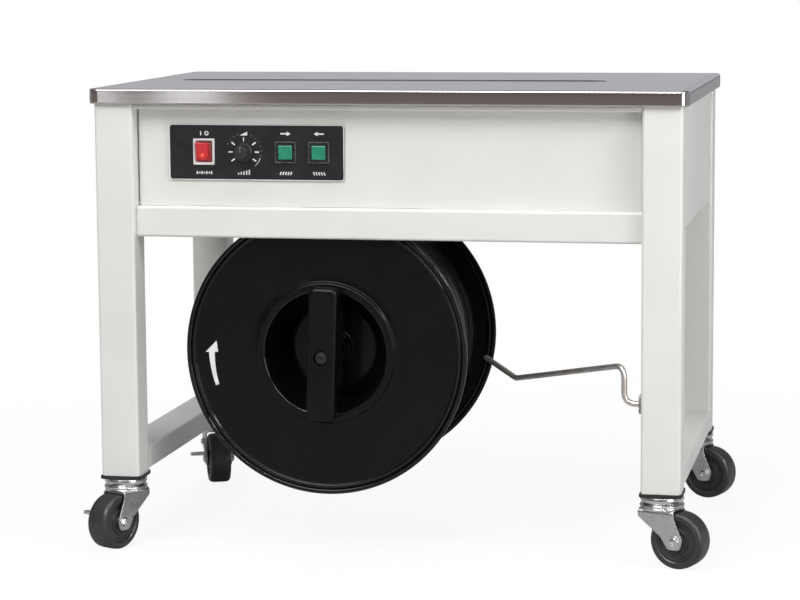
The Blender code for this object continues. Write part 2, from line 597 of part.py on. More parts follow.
def build_casters(root):
    """A swivel caster under each leg; the two left ones have brakes."""
    mount, fork, wheel, brake = caster_mount(), caster_fork(), caster_wheel(), caster_brake()
    stock = {"mount": mount, "fork": fork, "wheel": wheel, "brake": brake}
    for place, (sx, sy, heading) in CASTERS.items():
        foot = (sx * LEG_X, sy * LEG_Y, 0.0)
        swivel = make_empty(f"swivel_{place}", foot, root, math.radians(heading))
        placed = [("mount", CAP, root, foot, (0, 0, 0)), ("fork", ZINC, swivel, (0, 0, 0), (0, 0, 0)),
                  ("wheel", TYRE, swivel, (CASTER_TRAIL, 0, WHEEL_RADIUS), (0, 0, 0))]
        if place in BRAKED:
            placed.append(("brake", ZINC, swivel, BRAKE_PIVOT, BRAKE_PIVOT))
        for kind, look, parent, location, pivot in placed:
            copy = bpy.data.objects.new("copy", stock[kind].data.copy())
            bpy.context.collection.objects.link(copy)
            piece(f"caster_{kind}_{place}", copy, look, parent, pivot, smooth=kind != "brake")
            copy.location = location
    for solid in stock.values():
        bpy.data.objects.remove(solid, do_unlink=True)


# ---------------------------------------------------------------- sealing head
def build_head(root):
    """The head frame with its cam-driven grippers and press, heater blade and anvil slide."""
    x = HEAD_X
    guide_bottom, guide_top = 0.640, FOLLOWER_TOP - 0.001
    body = block((x - 0.055, -0.028, DECK_SEAT), (x + 0.055, 0.028, guide_top))
    cavity = block((x - 0.047, -0.05, DECK_SEAT + 0.006), (x + 0.047, 0.05, guide_bottom))
    shelf = block((x - 0.037, 0.0275, 0.640), (x + 0.037, 0.100, 0.665))
    roller_plate = block((ROLLER_X - 0.032, 0.0215, 0.565), (x - 0.054, 0.0275, 0.662))
    channels = [block((x + offset - wide, -0.0100, 0.6), (x + offset + wide, 0.0100, 0.72))
                for offset, wide in ((-FOLLOWER_SPACING, 0.0100), (0.0, 0.0130), (FOLLOWER_SPACING, 0.0100))]
    bearing = rod("X", (0.0, 0.0, CAM_Z), 0.0084, x - 0.06, x + 0.06, 20)
    pins = [rod("Y", (ROLLER_X, 0.0, z), 0.0064, 0.0, 0.05, 16) for z in (ROLLER_Z, PINCH_Z)]
    frame = cut(body, cavity)
    frame = join(frame, shelf, roller_plate)
    piece("head_frame", cut(frame, *channels, bearing, *pins), CAST, root)

    foot_top, bottom = 0.6175, CAM_Z + CAM_RADIUS + CAM_THROW + 0.0015
    for name, offset, wide in (("left_gripper", -FOLLOWER_SPACING, 0.0097), ("press_platen", 0.0, 0.0127),
                               ("right_gripper", FOLLOWER_SPACING, 0.0097)):
        middle = x + offset
        stem = block((middle - wide, -0.0097, bottom), (middle + wide, 0.0097, FOLLOWER_TOP))
        foot = block((middle - wide, -0.0180, bottom), (middle + wide, 0.0180, foot_top))
        piece(name, join(stem, foot), STEEL, root, (middle, 0.0, bottom))

    blade = block((x - 0.0120, 0.012, 0.6992), (x + 0.0120, 0.053, 0.7012))
    carriage = block((x - 0.0150, 0.050, 0.6653), (x + 0.0150, 0.080, 0.7012))
    piece("heater_blade", join(blade, carriage), STEEL, root, (x, 0.080, 0.700))

    plate = block((x - 0.035, -0.012, 0.7018), (x + 0.035, 0.070, 0.7068))
    feet = [block((x + s * 0.0285 - 0.0065, 0.040, 0.6653), (x + s * 0.0285 + 0.0065, 0.070, 0.7030))
            for s in (-1, 1)]
    piece("anvil_slide", join(plate, *feet), STEEL, root, (x, 0.070, 0.700))

    shaft = rod("X", (0.0, 0.0, CAM_Z), 0.0080, x - 0.054, REDUCER_X - 0.040, 20)
    for i, offset in enumerate((-FOLLOWER_SPACING, 0.0, FOLLOWER_SPACING)):
        phase = math.radians(90 + 120 * i)
        lobe = (0.0, CAM_THROW * math.cos(phase), CAM_Z + CAM_THROW * math.sin(phase))
        shaft = join(shaft, rod("X", lobe, CAM_RADIUS, x + offset - 0.007, x + offset + 0.007, 20))
    piece("cam_shaft", shaft, STEEL, root, (0.0, 0.0, CAM_Z), smooth=True)


def build_feed(root):
    """The two rollers that push and pull the strap, and the channel it runs along."""
    for name, radius, z in (("feed_roller", FEED_ROLLER_RADIUS, ROLLER_Z),
                            ("pinch_roller", PINCH_ROLLER_RADIUS, PINCH_Z)):
        centre = (ROLLER_X, 0.0, z)
        roller = join(rod("Y", centre, radius, -0.012, 0.018, 24), rod("Y", centre, 0.006, -0.016, 0.034, 16))
        piece(name, roller, STEEL, root, centre, smooth=True)

    left, right = HEAD_X + 0.060, SLOT_RIGHT - 0.002
    floor, top = 0.694, 0.7072
    trough = [(-0.010, floor), (0.010, floor), (0.010, top), (0.008, top), (0.008, floor + 0.002),
              (-0.008, floor + 0.002), (-0.008, top), (-0.010, top)]
    posts = [block((x, -0.010, foot), (x + 0.015, 0.010, floor + 0.001))
             for x, foot in ((REDUCER_X - 0.007, REDUCER_TOP + GAP), (0.188, DECK_SEAT))]
    piece("strap_channel", join(prism(trough, "X", left, right), *posts), STAINLESS, root)


# ---------------------------------------------------------------- drive and electrics
def build_drive(root):
    """Motor, toothed belt and worm reducer that turn the cam shaft."""
    box = block((REDUCER_X - 0.050, -0.045, DECK_SEAT), (REDUCER_X + 0.050, 0.045, REDUCER_TOP))
    output = rod("X", (0.0, 0.0, CAM_Z), 0.0084, REDUCER_X - 0.06, REDUCER_X - 0.038, 20)
    entry = rod("Y", (REDUCER_X, 0.0, DRIVE_Z), 0.0078, 0.030, 0.06, 20)
    piece("gear_reducer", cut(box, output, entry), CAST, root)

    motor_centre = (MOTOR_X, 0.0, DRIVE_Z)
    casing = rod("Y", motor_centre, 0.055, -0.130, 0.050, 32)
    foot = block((MOTOR_X - 0.045, -0.110, DECK_SEAT), (MOTOR_X + 0.045, 0.030, DECK_SEAT + 0.012))
    neck = block((MOTOR_X - 0.025, -0.110, DECK_SEAT + 0.002), (MOTOR_X + 0.025, 0.030, DRIVE_Z))
    entry = rod("Y", motor_centre, 0.0078, 0.030, 0.06, 20)
    piece("drive_motor", cut(join(casing, foot, neck), entry), CAST, root, smooth=True)

    for name, x, radius in (("reducer_pulley", REDUCER_X, REDUCER_PULLEY_RADIUS),
                            ("motor_pulley", MOTOR_X, MOTOR_PULLEY_RADIUS)):
        lip, width = 0.004, 0.008
        profile = [(0.0, 0.033), (0.0075, 0.033), (0.0075, BELT_Y - width - 0.002),
                   (radius + lip, BELT_Y - width - 0.002), (radius + lip, BELT_Y - width),
                   (radius, BELT_Y - width), (radius, BELT_Y + width), (radius + lip, BELT_Y + width),
                   (radius + lip, BELT_Y + width + 0.002), (0.0, BELT_Y + width + 0.002)]
        piece(name, turned(profile, "Y", (x, 0.0, DRIVE_Z), 20), STEEL, root,
              (x, BELT_Y, DRIVE_Z), smooth=True)

    belt = cut(belt_loop(0.0042, 0.0066), belt_loop(0.0006, 0.02))
    piece("drive_belt", belt, BELT, root, (REDUCER_X, BELT_Y, DRIVE_Z), smooth=True)


def belt_loop(offset, half_width):
    """A closed loop round both pulleys, a little outside their running faces."""
    large, small = REDUCER_PULLEY_RADIUS + offset, MOTOR_PULLEY_RADIUS + offset
    spread = math.degrees(math.acos((large - small) / (MOTOR_X - REDUCER_X)))
    outline = arc((REDUCER_X, DRIVE_Z), large, spread, 360 - spread, 16)
    outline += arc((MOTOR_X, DRIVE_Z), small, -spread, spread, 12)
    return prism(outline, "Y", BELT_Y - half_width, BELT_Y + half_width)


def build_electrics(root):
    """The transformer that heats the blade, and the control board on its stand-offs."""
    x, y = -0.335, -0.060
    core = block((x - 0.038, y - 0.030, DECK_SEAT), (x + 0.038, y + 0.030, DECK_SEAT + 0.062))
    winding = block((x - 0.026, y - 0.046, DECK_SEAT + 0.010), (x + 0.026, y + 0.046, DECK_SEAT + 0.052))
    piece("power_transformer", join(core, winding), COIL_CORE, root)

    low, high = (-0.380, 0.070), (-0.230, 0.180)
    board_z = DECK_SEAT + 0.012
    board = block((*low, board_z), (*high, board_z + 0.002))
    stands = [rod("Z", (x, y, 0.0), 0.004, DECK_SEAT, board_z + 0.001, 12)
              for x in (low[0] + 0.008, high[0] - 0.008) for y in (low[1] + 0.008, high[1] - 0.008)]
    relays = [block((-0.365 + 0.028 * i, 0.085, board_z + 0.001), (-0.345 + 0.028 * i, 0.105, board_z + 0.018))
              for i in range(4)]
    terminal = block((-0.360, 0.160, board_z + 0.001), (-0.250, 0.172, board_z + 0.012))
    piece("control_board", join(board, *stands, *relays, terminal), BOARD, root)


def build_machine():
    clear_scene()
    root = make_empty("machine", FOOTPRINT_SHIFT)
    build_legs(root)
    build_rails(root)
    build_panels(root)
    build_power_inlet(root)
    build_table(root)
    build_controls(root)
    build_reel(root)
    build_brake_arm(root)
    build_casters(root)
    build_head(root)
    build_feed(root)
    build_drive(root)
    build_electrics(root)


build_machine()
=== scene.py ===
"""Looks of the semi-automatic strapping machine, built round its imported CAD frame.

Metres, +Z up, -Y towards the operator.  Shapes are written in the machine's own coordinates,
measured from the middle of the table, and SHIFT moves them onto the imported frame.
"""

import math
import random
from itertools import product

import bmesh
import bpy
from mathutils import Matrix, Quaternion, Vector


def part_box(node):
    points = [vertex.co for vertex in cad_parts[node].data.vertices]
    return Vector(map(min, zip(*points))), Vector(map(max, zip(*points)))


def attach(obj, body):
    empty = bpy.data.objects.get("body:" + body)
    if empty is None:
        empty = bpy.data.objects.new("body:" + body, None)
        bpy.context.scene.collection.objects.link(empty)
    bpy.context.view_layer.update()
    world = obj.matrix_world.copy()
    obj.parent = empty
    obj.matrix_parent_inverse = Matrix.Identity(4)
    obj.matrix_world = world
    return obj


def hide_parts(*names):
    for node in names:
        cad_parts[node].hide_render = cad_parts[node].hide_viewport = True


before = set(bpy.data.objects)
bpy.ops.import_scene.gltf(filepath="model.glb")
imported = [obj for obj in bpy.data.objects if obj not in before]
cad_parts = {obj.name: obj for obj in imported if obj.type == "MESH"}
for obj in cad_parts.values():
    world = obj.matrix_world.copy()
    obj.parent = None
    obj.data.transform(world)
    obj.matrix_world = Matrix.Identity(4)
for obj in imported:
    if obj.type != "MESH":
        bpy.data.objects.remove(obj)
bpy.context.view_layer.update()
random.seed(7)

TABLE_LOW, TABLE_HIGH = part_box("table_top")
SHIFT = Vector(((TABLE_LOW.x + TABLE_HIGH.x) / 2, (TABLE_LOW.y + TABLE_HIGH.y) / 2, 0.0))


def cad(node):
    """A CAD node's lowest and highest corners in the machine's own coordinates."""
    low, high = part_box(node)
    return low - SHIFT, high - SHIFT


def middle_of(node):
    """The middle of a CAD node's box, and half its size."""
    low, high = cad(node)
    return [(a + b) / 2 for a, b in zip(low, high)], [(b - a) / 2 for a, b in zip(low, high)]


# ---------------------------------------------------------------- materials
class Graph:
    """Short way to add linked shader nodes to one material, or to the world."""

    def __init__(self, name, owners="materials", coordinates="Object"):
        self.owner = getattr(bpy.data, owners).new(name)
        self.owner.use_nodes = True
        self.tree = self.owner.node_tree
        self.shader = self.tree.nodes.get("Principled BSDF")
        self.place = self.add("ShaderNodeTexCoord").outputs[coordinates]

    def add(self, kind, inputs=None, **settings):
        node = self.tree.nodes.new(kind)
        for key, value in settings.items():
            setattr(node, key, value)
        self.plug(node, inputs or {})
        return node

    def plug(self, node, inputs):
        for key, value in inputs.items():
            if isinstance(value, bpy.types.NodeSocket):
                self.tree.links.new(value, node.inputs[key])
            else:
                node.inputs[key].default_value = value

    def noise(self, scale, detail=3.0, stretch=None):
        place = self.place
        if stretch:
            place = self.add("ShaderNodeMapping", {"Vector": place, "Scale": stretch}).outputs[0]
        return self.add("ShaderNodeTexNoise", {"Vector": place, "Scale": scale, "Detail": detail}).outputs[0]

    def ramp(self, value, low, high, start=0.0, end=1.0, **settings):
        inputs = {"Value": value, "From Min": low, "From Max": high, "To Min": start, "To Max": end}
        return self.add("ShaderNodeMapRange", inputs, **settings).outputs[0]

    def math(self, operation, a, b):
        return self.add("ShaderNodeMath", {0: a, 1: b}, operation=operation).outputs[0]

    def blend(self, a, b, share=0.5):
        return self.math("ADD", self.math("MULTIPLY", a, share), self.math("MULTIPLY", b, 1 - share))

    def mix(self, factor, a, b):
        return self.add("ShaderNodeMix", {0: factor, 6: a, 7: b}, data_type="RGBA").outputs[2]

    def bump(self, height, strength, distance, below=None):
        inputs = {"Height": height, "Strength": strength, "Distance": distance}
        if below:
            inputs["Normal"] = below
        return self.add("ShaderNodeBump", inputs).outputs[0]

    def edges(self, radius):
        """1 on sharp edges and 0 on flat faces."""
        soft = self.add("ShaderNodeBevel", {"Radius": radius}, samples=4).outputs[0]
        hard = self.add("ShaderNodeNewGeometry").outputs["Normal"]
        close = self.add("ShaderNodeVectorMath", {0: soft, 1: hard}, operation="DOT_PRODUCT").outputs["Value"]
        return self.ramp(close, 0.97, 0.80)

    def finish(self, colour, rough, normal, metallic, fixed=None):
        self.plug(self.shader, {"Base Color": colour, "Roughness": rough, "Normal": normal,
                                "Metallic": metallic, **(fixed or {})})
        return self.owner

    def by_camera(self, unseen, seen):
        """One shader for what the camera sees directly, and another for light and reflections."""
        direct = self.add("ShaderNodeLightPath").outputs["Is Camera Ray"]
        both = self.add("ShaderNodeMixShader", {0: direct, 1: unseen, 2: seen})
        output = next(node for node in self.tree.nodes if node.type.startswith("OUTPUT"))
        self.plug(output, {"Surface": both.outputs[0]})


def rgb(*values):
    return (*values, 1.0)


def surface(name, dark, light, rough, metallic=0.0, patch=8.0, grain=900.0, stretch=None,
            bump=(0.2, 0.0001), wave=None, wear=None, fixed=None):
    """A finish with cloudy colour, grain in its bump and gloss, and worn or dusty edges."""
    g = Graph(name)
    cloud = g.noise(patch, 5.0)
    fine = g.noise(grain, 3.0, stretch)
    colour = g.mix(g.ramp(cloud, 0.35, 0.65), rgb(*dark), rgb(*light))
    colour = g.mix(g.ramp(fine, 0.25, 0.75, 0.0, 0.25), colour, rgb(*dark))
    gloss = g.ramp(g.blend(cloud, fine), 0.35, 0.65, *rough)
    normal = g.bump(fine, *bump)
    if wave:
        normal = g.bump(g.noise(wave[0], 1.0), wave[1], wave[2], normal)
    if wear:
        worn, radius, amount = wear
        chips = g.ramp(g.noise(260.0, 4.0), 0.45, 0.65)
        mask = g.math("MULTIPLY", g.math("MULTIPLY", g.edges(radius), chips), amount)
        colour = g.mix(mask, colour, rgb(*worn))
    return g.finish(colour, gloss, normal, metallic, fixed)


def brushed(name, dark, light, rough):
    """Sheet metal with fine brushing along X, faint smears and a soft waviness."""
    g = Graph(name)
    across = [4.0, 900.0, 900.0]
    streak = g.noise(1.0, 6.0, across)
    coarse = g.noise(1.0, 2.0, [value / 6 for value in across])
    colour = g.mix(g.ramp(g.math("ADD", streak, coarse), 0.5, 1.5), rgb(*dark), rgb(*light))
    gloss = g.ramp(g.blend(streak, g.noise(7.0, 4.0), 0.6), 0.3, 0.7, *rough)
    normal = g.bump(streak, 0.05, 0.00002, g.bump(g.noise(4.0, 1.0), 0.015, 0.001))
    return g.finish(colour, gloss, normal, 1.0)


def spangled(name, dark, light, rough):
    """Zinc plate: small crystal patches of slightly different gloss, and a little grime."""
    g = Graph(name)
    cells = g.add("ShaderNodeTexVoronoi", {"Vector": g.place, "Scale": 150.0}).outputs["Color"]
    both = g.blend(g.add("ShaderNodeSeparateColor", {0: cells}).outputs[0], g.noise(700.0, 4.0))
    colour = g.mix(g.ramp(both, 0.2, 0.8), rgb(*dark), rgb(*light))
    grime = g.math("MULTIPLY", g.ramp(g.noise(45.0, 4.0), 0.50, 0.75), 0.05)
    colour = g.mix(grime, colour, rgb(0.22, 0.21, 0.19))
    return g.finish(colour, g.ramp(both, 0.2, 0.8, *rough), g.bump(both, 0.04, 0.00003), 1.0)


def lit_lens():
    """The rocker's red lens with its lamp showing as a small warm spot behind the lower half."""
    g = Graph("rocker_lens")
    low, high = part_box("power_rocker")
    lamp_at = ((low.x + high.x) / 2 - 0.0010, 0.0, (low.z + high.z) / 2 - 0.0045)
    flat = g.add("ShaderNodeVectorMath", {0: g.place, 1: (1.0, 0.0, 1.0)}, operation="MULTIPLY").outputs[0]
    away = g.add("ShaderNodeVectorMath", {0: flat, 1: lamp_at}, operation="DISTANCE").outputs["Value"]
    grain = g.noise(420.0, 3.0)
    spot = g.math("MULTIPLY", g.ramp(away, 0.0042, 0.0006), g.ramp(grain, 0.30, 0.62, 0.35, 1.0))
    colour = g.mix(g.ramp(grain, 0.35, 0.65), rgb(0.52, 0.008, 0.018), rgb(0.66, 0.018, 0.030))
    lamp = g.mix(spot, rgb(0.42, 0.004, 0.012), rgb(1.0, 0.42, 0.10))
    return g.finish(colour, g.ramp(grain, 0.3, 0.7, 0.14, 0.24), g.bump(grain, 0.08, 0.0001), 0.0,
                    {"Emission Color": lamp, "Emission Strength": g.ramp(spot, 0.0, 1.0, 0.10, 1.0),
                     "Coat Weight": 0.6})


def coat(weight, rough, **others):
    return {"Coat Weight": weight, "Coat Roughness": rough, **others}


BLACK = (0.0019, 0.0019, 0.0023), (0.0033, 0.0033, 0.0039)
PAINT = surface("frame_paint", (0.725, 0.735, 0.705), (0.765, 0.772, 0.742), (0.34, 0.46), grain=650.0,
                bump=(0.30, 0.00008), wave=(160.0, 0.12, 0.0006), wear=((0.46, 0.45, 0.41), 0.0012, 0.45),
                fixed=coat(0.15, 0.25))
# Deck paint: the frame's own paint drawn greyer, as painted shade, with darker worn edges.
SHADED_DECK_PAINT = surface("deck_paint_shaded", (0.55, 0.56, 0.53), (0.62, 0.63, 0.60), (0.45, 0.62), grain=650.0,
                     bump=(0.30, 0.0001), wear=((0.35, 0.34, 0.32), 0.001, 0.6))
STAINLESS = brushed("stainless_sheet", (0.53, 0.52, 0.53), (0.61, 0.60, 0.61), (0.08, 0.14))
ZINC = spangled("zinc_plate", (0.55, 0.555, 0.555), (0.61, 0.615, 0.61), (0.26, 0.34))
BRIGHT = spangled("bearing_ring", (0.62, 0.62, 0.63), (0.72, 0.72, 0.73), (0.20, 0.27))
STEEL = surface("machined_steel", (0.36, 0.36, 0.37), (0.52, 0.52, 0.52), (0.24, 0.42), 1.0, 30.0, 1.0,
                [90.0, 1400.0, 1400.0], (0.25, 0.00003), wear=((0.68, 0.68, 0.68), 0.0006, 0.7))
WIRE = surface("stainless_wire", (0.60, 0.56, 0.53), (0.74, 0.70, 0.67), (0.28, 0.40), 0.85, 40.0, 500.0,
               bump=(0.12, 0.00005))
REEL = surface("reel_plastic", *BLACK, (0.24, 0.34), grain=1300.0, patch=14.0, bump=(0.35, 0.00010),
               wave=(30.0, 0.05, 0.001), wear=((0.03, 0.03, 0.03), 0.0012, 0.30),
               fixed=coat(0.16, 0.09, **{"Specular IOR Level": 0.14}))
REEL_LIP = surface("reel_lip", *BLACK, (0.16, 0.22), grain=1300.0, patch=14.0, bump=(0.10, 0.00005),
                   fixed=coat(0.60, 0.05, **{"Specular IOR Level": 0.12}))
STRAP = surface("strap_plastic", (0.004, 0.004, 0.0045), (0.011, 0.011, 0.012), (0.22, 0.40), patch=1.0,
                grain=1.0, stretch=[300.0, 2600.0, 300.0], bump=(0.45, 0.00015))
RUBBER = surface("wheel_rubber", (0.020, 0.020, 0.022), (0.034, 0.034, 0.036), (0.36, 0.52), patch=30.0,
                 grain=800.0, bump=(0.30, 0.00010), wear=((0.12, 0.12, 0.115), 0.0015, 0.35),
                 fixed=coat(0.25, 0.18))
WHEEL_CORE = surface("wheel_core", (0.026, 0.026, 0.028), (0.045, 0.045, 0.048), (0.34, 0.50), patch=40.0,
                     bump=(0.25, 0.0001))
CAP = surface("cap_plastic", (0.012, 0.012, 0.013), (0.022, 0.022, 0.023), (0.38, 0.55), grain=1000.0,
              bump=(0.3, 0.0001), wear=((0.09, 0.09, 0.09), 0.0008, 0.4))
FACE = surface("control_face", (0.0125, 0.0130, 0.0155), (0.0170, 0.0175, 0.0205), (0.26, 0.38), patch=25.0,
               grain=1500.0, bump=(0.30, 0.00006), wave=(40.0, 0.04, 0.0006), fixed={"Specular IOR Level": 0.40})
MARK = surface("printed_white", (0.74, 0.75, 0.75), (0.84, 0.85, 0.85), (0.42, 0.58), patch=60.0,
               grain=1800.0, bump=(0.2, 0.00004))
WHITE_PLASTIC = surface("bezel_white", (0.70, 0.69, 0.69), (0.78, 0.77, 0.77), (0.24, 0.34), patch=60.0,
                        grain=1200.0, bump=(0.15, 0.00005))
BLACK_PLASTIC = surface("bezel_black", (0.012, 0.012, 0.013), (0.024, 0.024, 0.026), (0.22, 0.36), patch=60.0,
                        grain=1300.0, bump=(0.25, 0.00006), wear=((0.14, 0.14, 0.14), 0.0006, 0.4))
GREY_METAL = surface("button_frame", (0.30, 0.30, 0.31), (0.42, 0.42, 0.43), (0.22, 0.34), 0.8, 60.0,
                     1200.0, bump=(0.15, 0.00005), wear=((0.30, 0.30, 0.31), 0.0007, 0.6))
GREEN = surface("button_green", (0.010, 0.220, 0.125), (0.016, 0.275, 0.155), (0.20, 0.30), patch=90.0,
                bump=(0.12, 0.00006), fixed=coat(0.4, 0.12))
RED_LENS = lit_lens()
RED_BASE = surface("rocker_base", (0.30, 0.005, 0.012), (0.40, 0.009, 0.018), (0.18, 0.28), patch=60.0,
                   bump=(0.10, 0.00005), fixed=coat(0.5, 0.12))
CAST = surface("cast_housing", (0.20, 0.225, 0.235), (0.28, 0.305, 0.315), (0.45, 0.65), 0.35, 25.0, 500.0,
               bump=(0.55, 0.0003), wear=((0.50, 0.50, 0.49), 0.0010, 0.5))
BELT = surface("drive_rubber", (0.012, 0.012, 0.012), (0.026, 0.026, 0.026), (0.60, 0.80), patch=60.0,
               grain=1.0, stretch=[400.0, 1800.0, 400.0], bump=(0.5, 0.0002))
BOARD = surface("circuit_board", (0.006, 0.075, 0.030), (0.012, 0.130, 0.055), (0.28, 0.42), patch=220.0,
                grain=700.0, bump=(0.35, 0.00008))
RELAY = surface("relay_case", (0.010, 0.060, 0.160), (0.016, 0.085, 0.210), (0.25, 0.38), patch=80.0,
                grain=1200.0, bump=(0.2, 0.00005))
LAMINATION = surface("transformer_core", (0.085, 0.080, 0.078), (0.150, 0.142, 0.135), (0.40, 0.60), 0.5, 30.0,
                     1.0, [60.0, 60.0, 2600.0], (0.8, 0.0004))
COPPER = surface("copper_winding", (0.38, 0.13, 0.045), (0.55, 0.21, 0.080), (0.22, 0.40), 0.9, 60.0, 1.0,
                 [1800.0, 120.0, 120.0], (0.8, 0.0004))


# ---------------------------------------------------------------- shape helpers
def mm(*points):
    """Points written in millimetres."""
    return [tuple(value / 1000 for value in point) for point in points]


def rounded(corners, steps=5):
    """A closed outline through (a, b, radius) corners, each rounded by its own radius."""
    outline = []
    count = len(corners)
    for i, (a, b, radius) in enumerate(corners):
        here = Vector((a, b))
        back = Vector(corners[i - 1][:2]) - here
        ahead = Vector(corners[(i + 1) % count][:2]) - here
        if radius <= 0.0:
            outline.append((a, b))
            continue
        reach = radius / math.tan(max(back.angle(ahead), 1e-3) / 2)
        reach = min(reach, back.length * 0.49, ahead.length * 0.49)
        outline += [tuple(point) for point in corner_arc(here, back, ahead, reach, steps)]
    return outline


def corner_arc(here, back, ahead, reach, steps):
    """A soft bend from one side of a corner point to the other."""
    start, end = here + back.normalized() * reach, here + ahead.normalized() * reach
    return [start.lerp(here, k / steps).lerp(here.lerp(end, k / steps), k / steps) for k in range(steps + 1)]


def bent_line(points, radius, steps, limit=1.0):
    """A line through the points with its inner corners rounded."""
    line = [Vector(points[0])]
    for before, corner, after in zip(points, points[1:], points[2:]):
        corner = Vector(corner)
        back, ahead = Vector(before) - corner, Vector(after) - corner
        reach = min(radius / math.tan(back.angle(ahead) / 2), back.length * limit, ahead.length * limit)
        line += corner_arc(corner, back, ahead, reach, steps)
    return [*line, Vector(points[-1])]


def rectangle(half_a, half_b, radius, centre=(0.0, 0.0), steps=5):
    """A rectangle outline with round corners."""
    a, b = centre
    return rounded([(a + half_a, b + half_b, radius), (a - half_a, b + half_b, radius),
                    (a - half_a, b - half_b, radius), (a + half_a, b - half_b, radius)], steps)


def folded(points, sheet, radius):
    """The closed outline of bent sheet whose middle line runs through the points."""
    line = bent_line(points, radius, 5, 0.49)
    sides = ([], [])
    for i, point in enumerate(line):
        run = line[min(i + 1, len(line) - 1)] - line[max(i - 1, 0)]
        normal = Vector((-run.y, run.x)).normalized() * sheet / 2
        sides[0].append(tuple(point + normal))
        sides[1].append(tuple(point - normal))
    return sides[0] + sides[1][::-1]


def pin(radius, start, end):
    """Profile of a plain round bar, for add_lathe."""
    return [(0.0, start), (radius, start), (radius, end), (0.0, end)]


def washer(inner, outer, start, end):
    """Profile of a flat ring, for add_lathe."""
    return [(inner, start), (outer, start), (outer, end), (inner, end)]


def ring(bm, outline, axis, h):
    """New points round an outline, at one height along an axis."""
    return [bm.verts.new({"X": (h, a, b), "Y": (a, h, b), "Z": (a, b, h)}[axis]) for a, b in outline]


def skin(bm, loops, closed=False, ends=False):
    """Faces from each ring of points to the next, and over the two end rings."""
    for one, other in zip(loops, loops[1:] + (loops[:1] if closed else [])):
        for i in range(len(one)):
            j = (i + 1) % len(one)
            bm.faces.new((one[i], one[j], other[j], other[i]))
    if ends:
        bm.faces.new(loops[0])
        bm.faces.new(loops[-1])


def add_prism(bm, outline, axis, start, end, hole=None):
    """An outline swept along an axis, with an optional outline of the same count cut through it."""
    loops = [ring(bm, outline, axis, start), ring(bm, outline, axis, end)]
    if hole:
        loops += [ring(bm, hole, axis, end), ring(bm, hole, axis, start)]
    skin(bm, loops, closed=bool(hole), ends=not hole)


def add_box(bm, low, high):
    outline = [(low[0], low[1]), (high[0], low[1]), (high[0], high[1]), (low[0], high[1])]
    add_prism(bm, outline, "Z", low[2], high[2])


def add_lathe(bm, profile, place=(0.0, 0.0, 0.0), facing=(0.0, 0.0, 1.0), segments=48):
    """A closed (radius, height) profile turned round an axis that faces a given way."""
    turn = Vector((0.0, 0.0, 1.0)).rotation_difference(Vector(facing)).to_matrix()
    rings = []
    for radius, height in profile:
        count = segments if radius > 1e-6 else 1
        angles = [2 * math.pi * i / segments for i in range(count)]
        rings.append([bm.verts.new(turn @ Vector((radius * math.cos(t), radius * math.sin(t), height))
                                   + Vector(place)) for t in angles])
    for one, other in zip(rings, rings[1:] + rings[:1]):
        for i in range(segments):
            j = (i + 1) % segments
            corners = [one[i % len(one)], one[j % len(one)], other[j % len(other)], other[i % len(other)]]
            distinct = list(dict.fromkeys(corners))
            if len(distinct) > 2:
                bm.faces.new(distinct)


def add_bolt(bm, place, facing, radius, height, sides=6):
    """A chamfered bolt head on a washer, or a domed screw head when it has many sides."""
    low = radius * 0.18
    add_lathe(bm, [(0.0, 0.0), (radius * 1.25, 0.0), (radius * 1.25, radius * 0.16),
                   (radius * 1.18, radius * 0.2), (0.0, radius * 0.2)], place, facing, 32)
    head = [(0.0, low), (radius, low), (radius, height * 0.75), (radius * 0.86, height),
            (radius * 0.40, height), (radius * 0.34, height * 0.55), (0.0, height * 0.55)]
    if sides > 6:
        head = [(0.0, low), *rounded([(radius, low, 0.0), (radius, height, height * 0.7),
                                      (radius * 0.42, height, 0.0)]), (radius * 0.36, height * 0.5),
                (0.0, height * 0.5)]
    add_lathe(bm, head, place, facing, sides)


def add_bolts(bm, xs, ys, zs, facing, radius, height, sides=6):
    for place in product(xs, ys, zs):
        add_bolt(bm, place, facing, radius, height, sides)


def tube_mesh(points, radius, name, resolution=5):
    """A round bar along a line of points."""
    curve = bpy.data.curves.new(name, "CURVE")
    curve.dimensions = "3D"
    curve.bevel_depth = radius
    curve.bevel_resolution = resolution
    curve.use_fill_caps = True
    spline = curve.splines.new("POLY")
    spline.points.add(len(points) - 1)
    for node, point in zip(spline.points, points):
        node.co = (*point, 1.0)
    holder = placed(name, curve)
    mesh = applied(holder)
    bpy.data.objects.remove(holder, do_unlink=True)
    return mesh


def placed(name, data):
    obj = bpy.data.objects.new(name, data)
    bpy.context.scene.collection.objects.link(obj)
    return obj


def applied(obj):
    return bpy.data.meshes.new_from_object(obj.evaluated_get(bpy.context.evaluated_depsgraph_get()))


def mesh_of(bm):
    bmesh.ops.remove_doubles(bm, verts=bm.verts[:], dist=1e-7)
    bmesh.ops.recalc_face_normals(bm, faces=bm.faces[:])
    mesh = bpy.data.meshes.new("shape")
    bm.to_mesh(mesh)
    bm.free()
    return mesh


def combine(mesh, operation, *tools):
    """Cut, join or intersect closed meshes, exactly."""
    base = placed("base", mesh)
    helpers = [placed("tool", tool) for tool in tools]
    for helper in helpers:
        step = base.modifiers.new("step", "BOOLEAN")
        step.operation, step.solver, step.object = operation, "EXACT", helper
    result = applied(base)
    for helper in [base, *helpers]:
        bpy.data.objects.remove(helper, do_unlink=True)
    return result


def shape(build, *args, **kwargs):
    """A closed mesh from one of the add_ functions."""
    bm = bmesh.new()
    build(bm, *args, **kwargs)
    return mesh_of(bm)


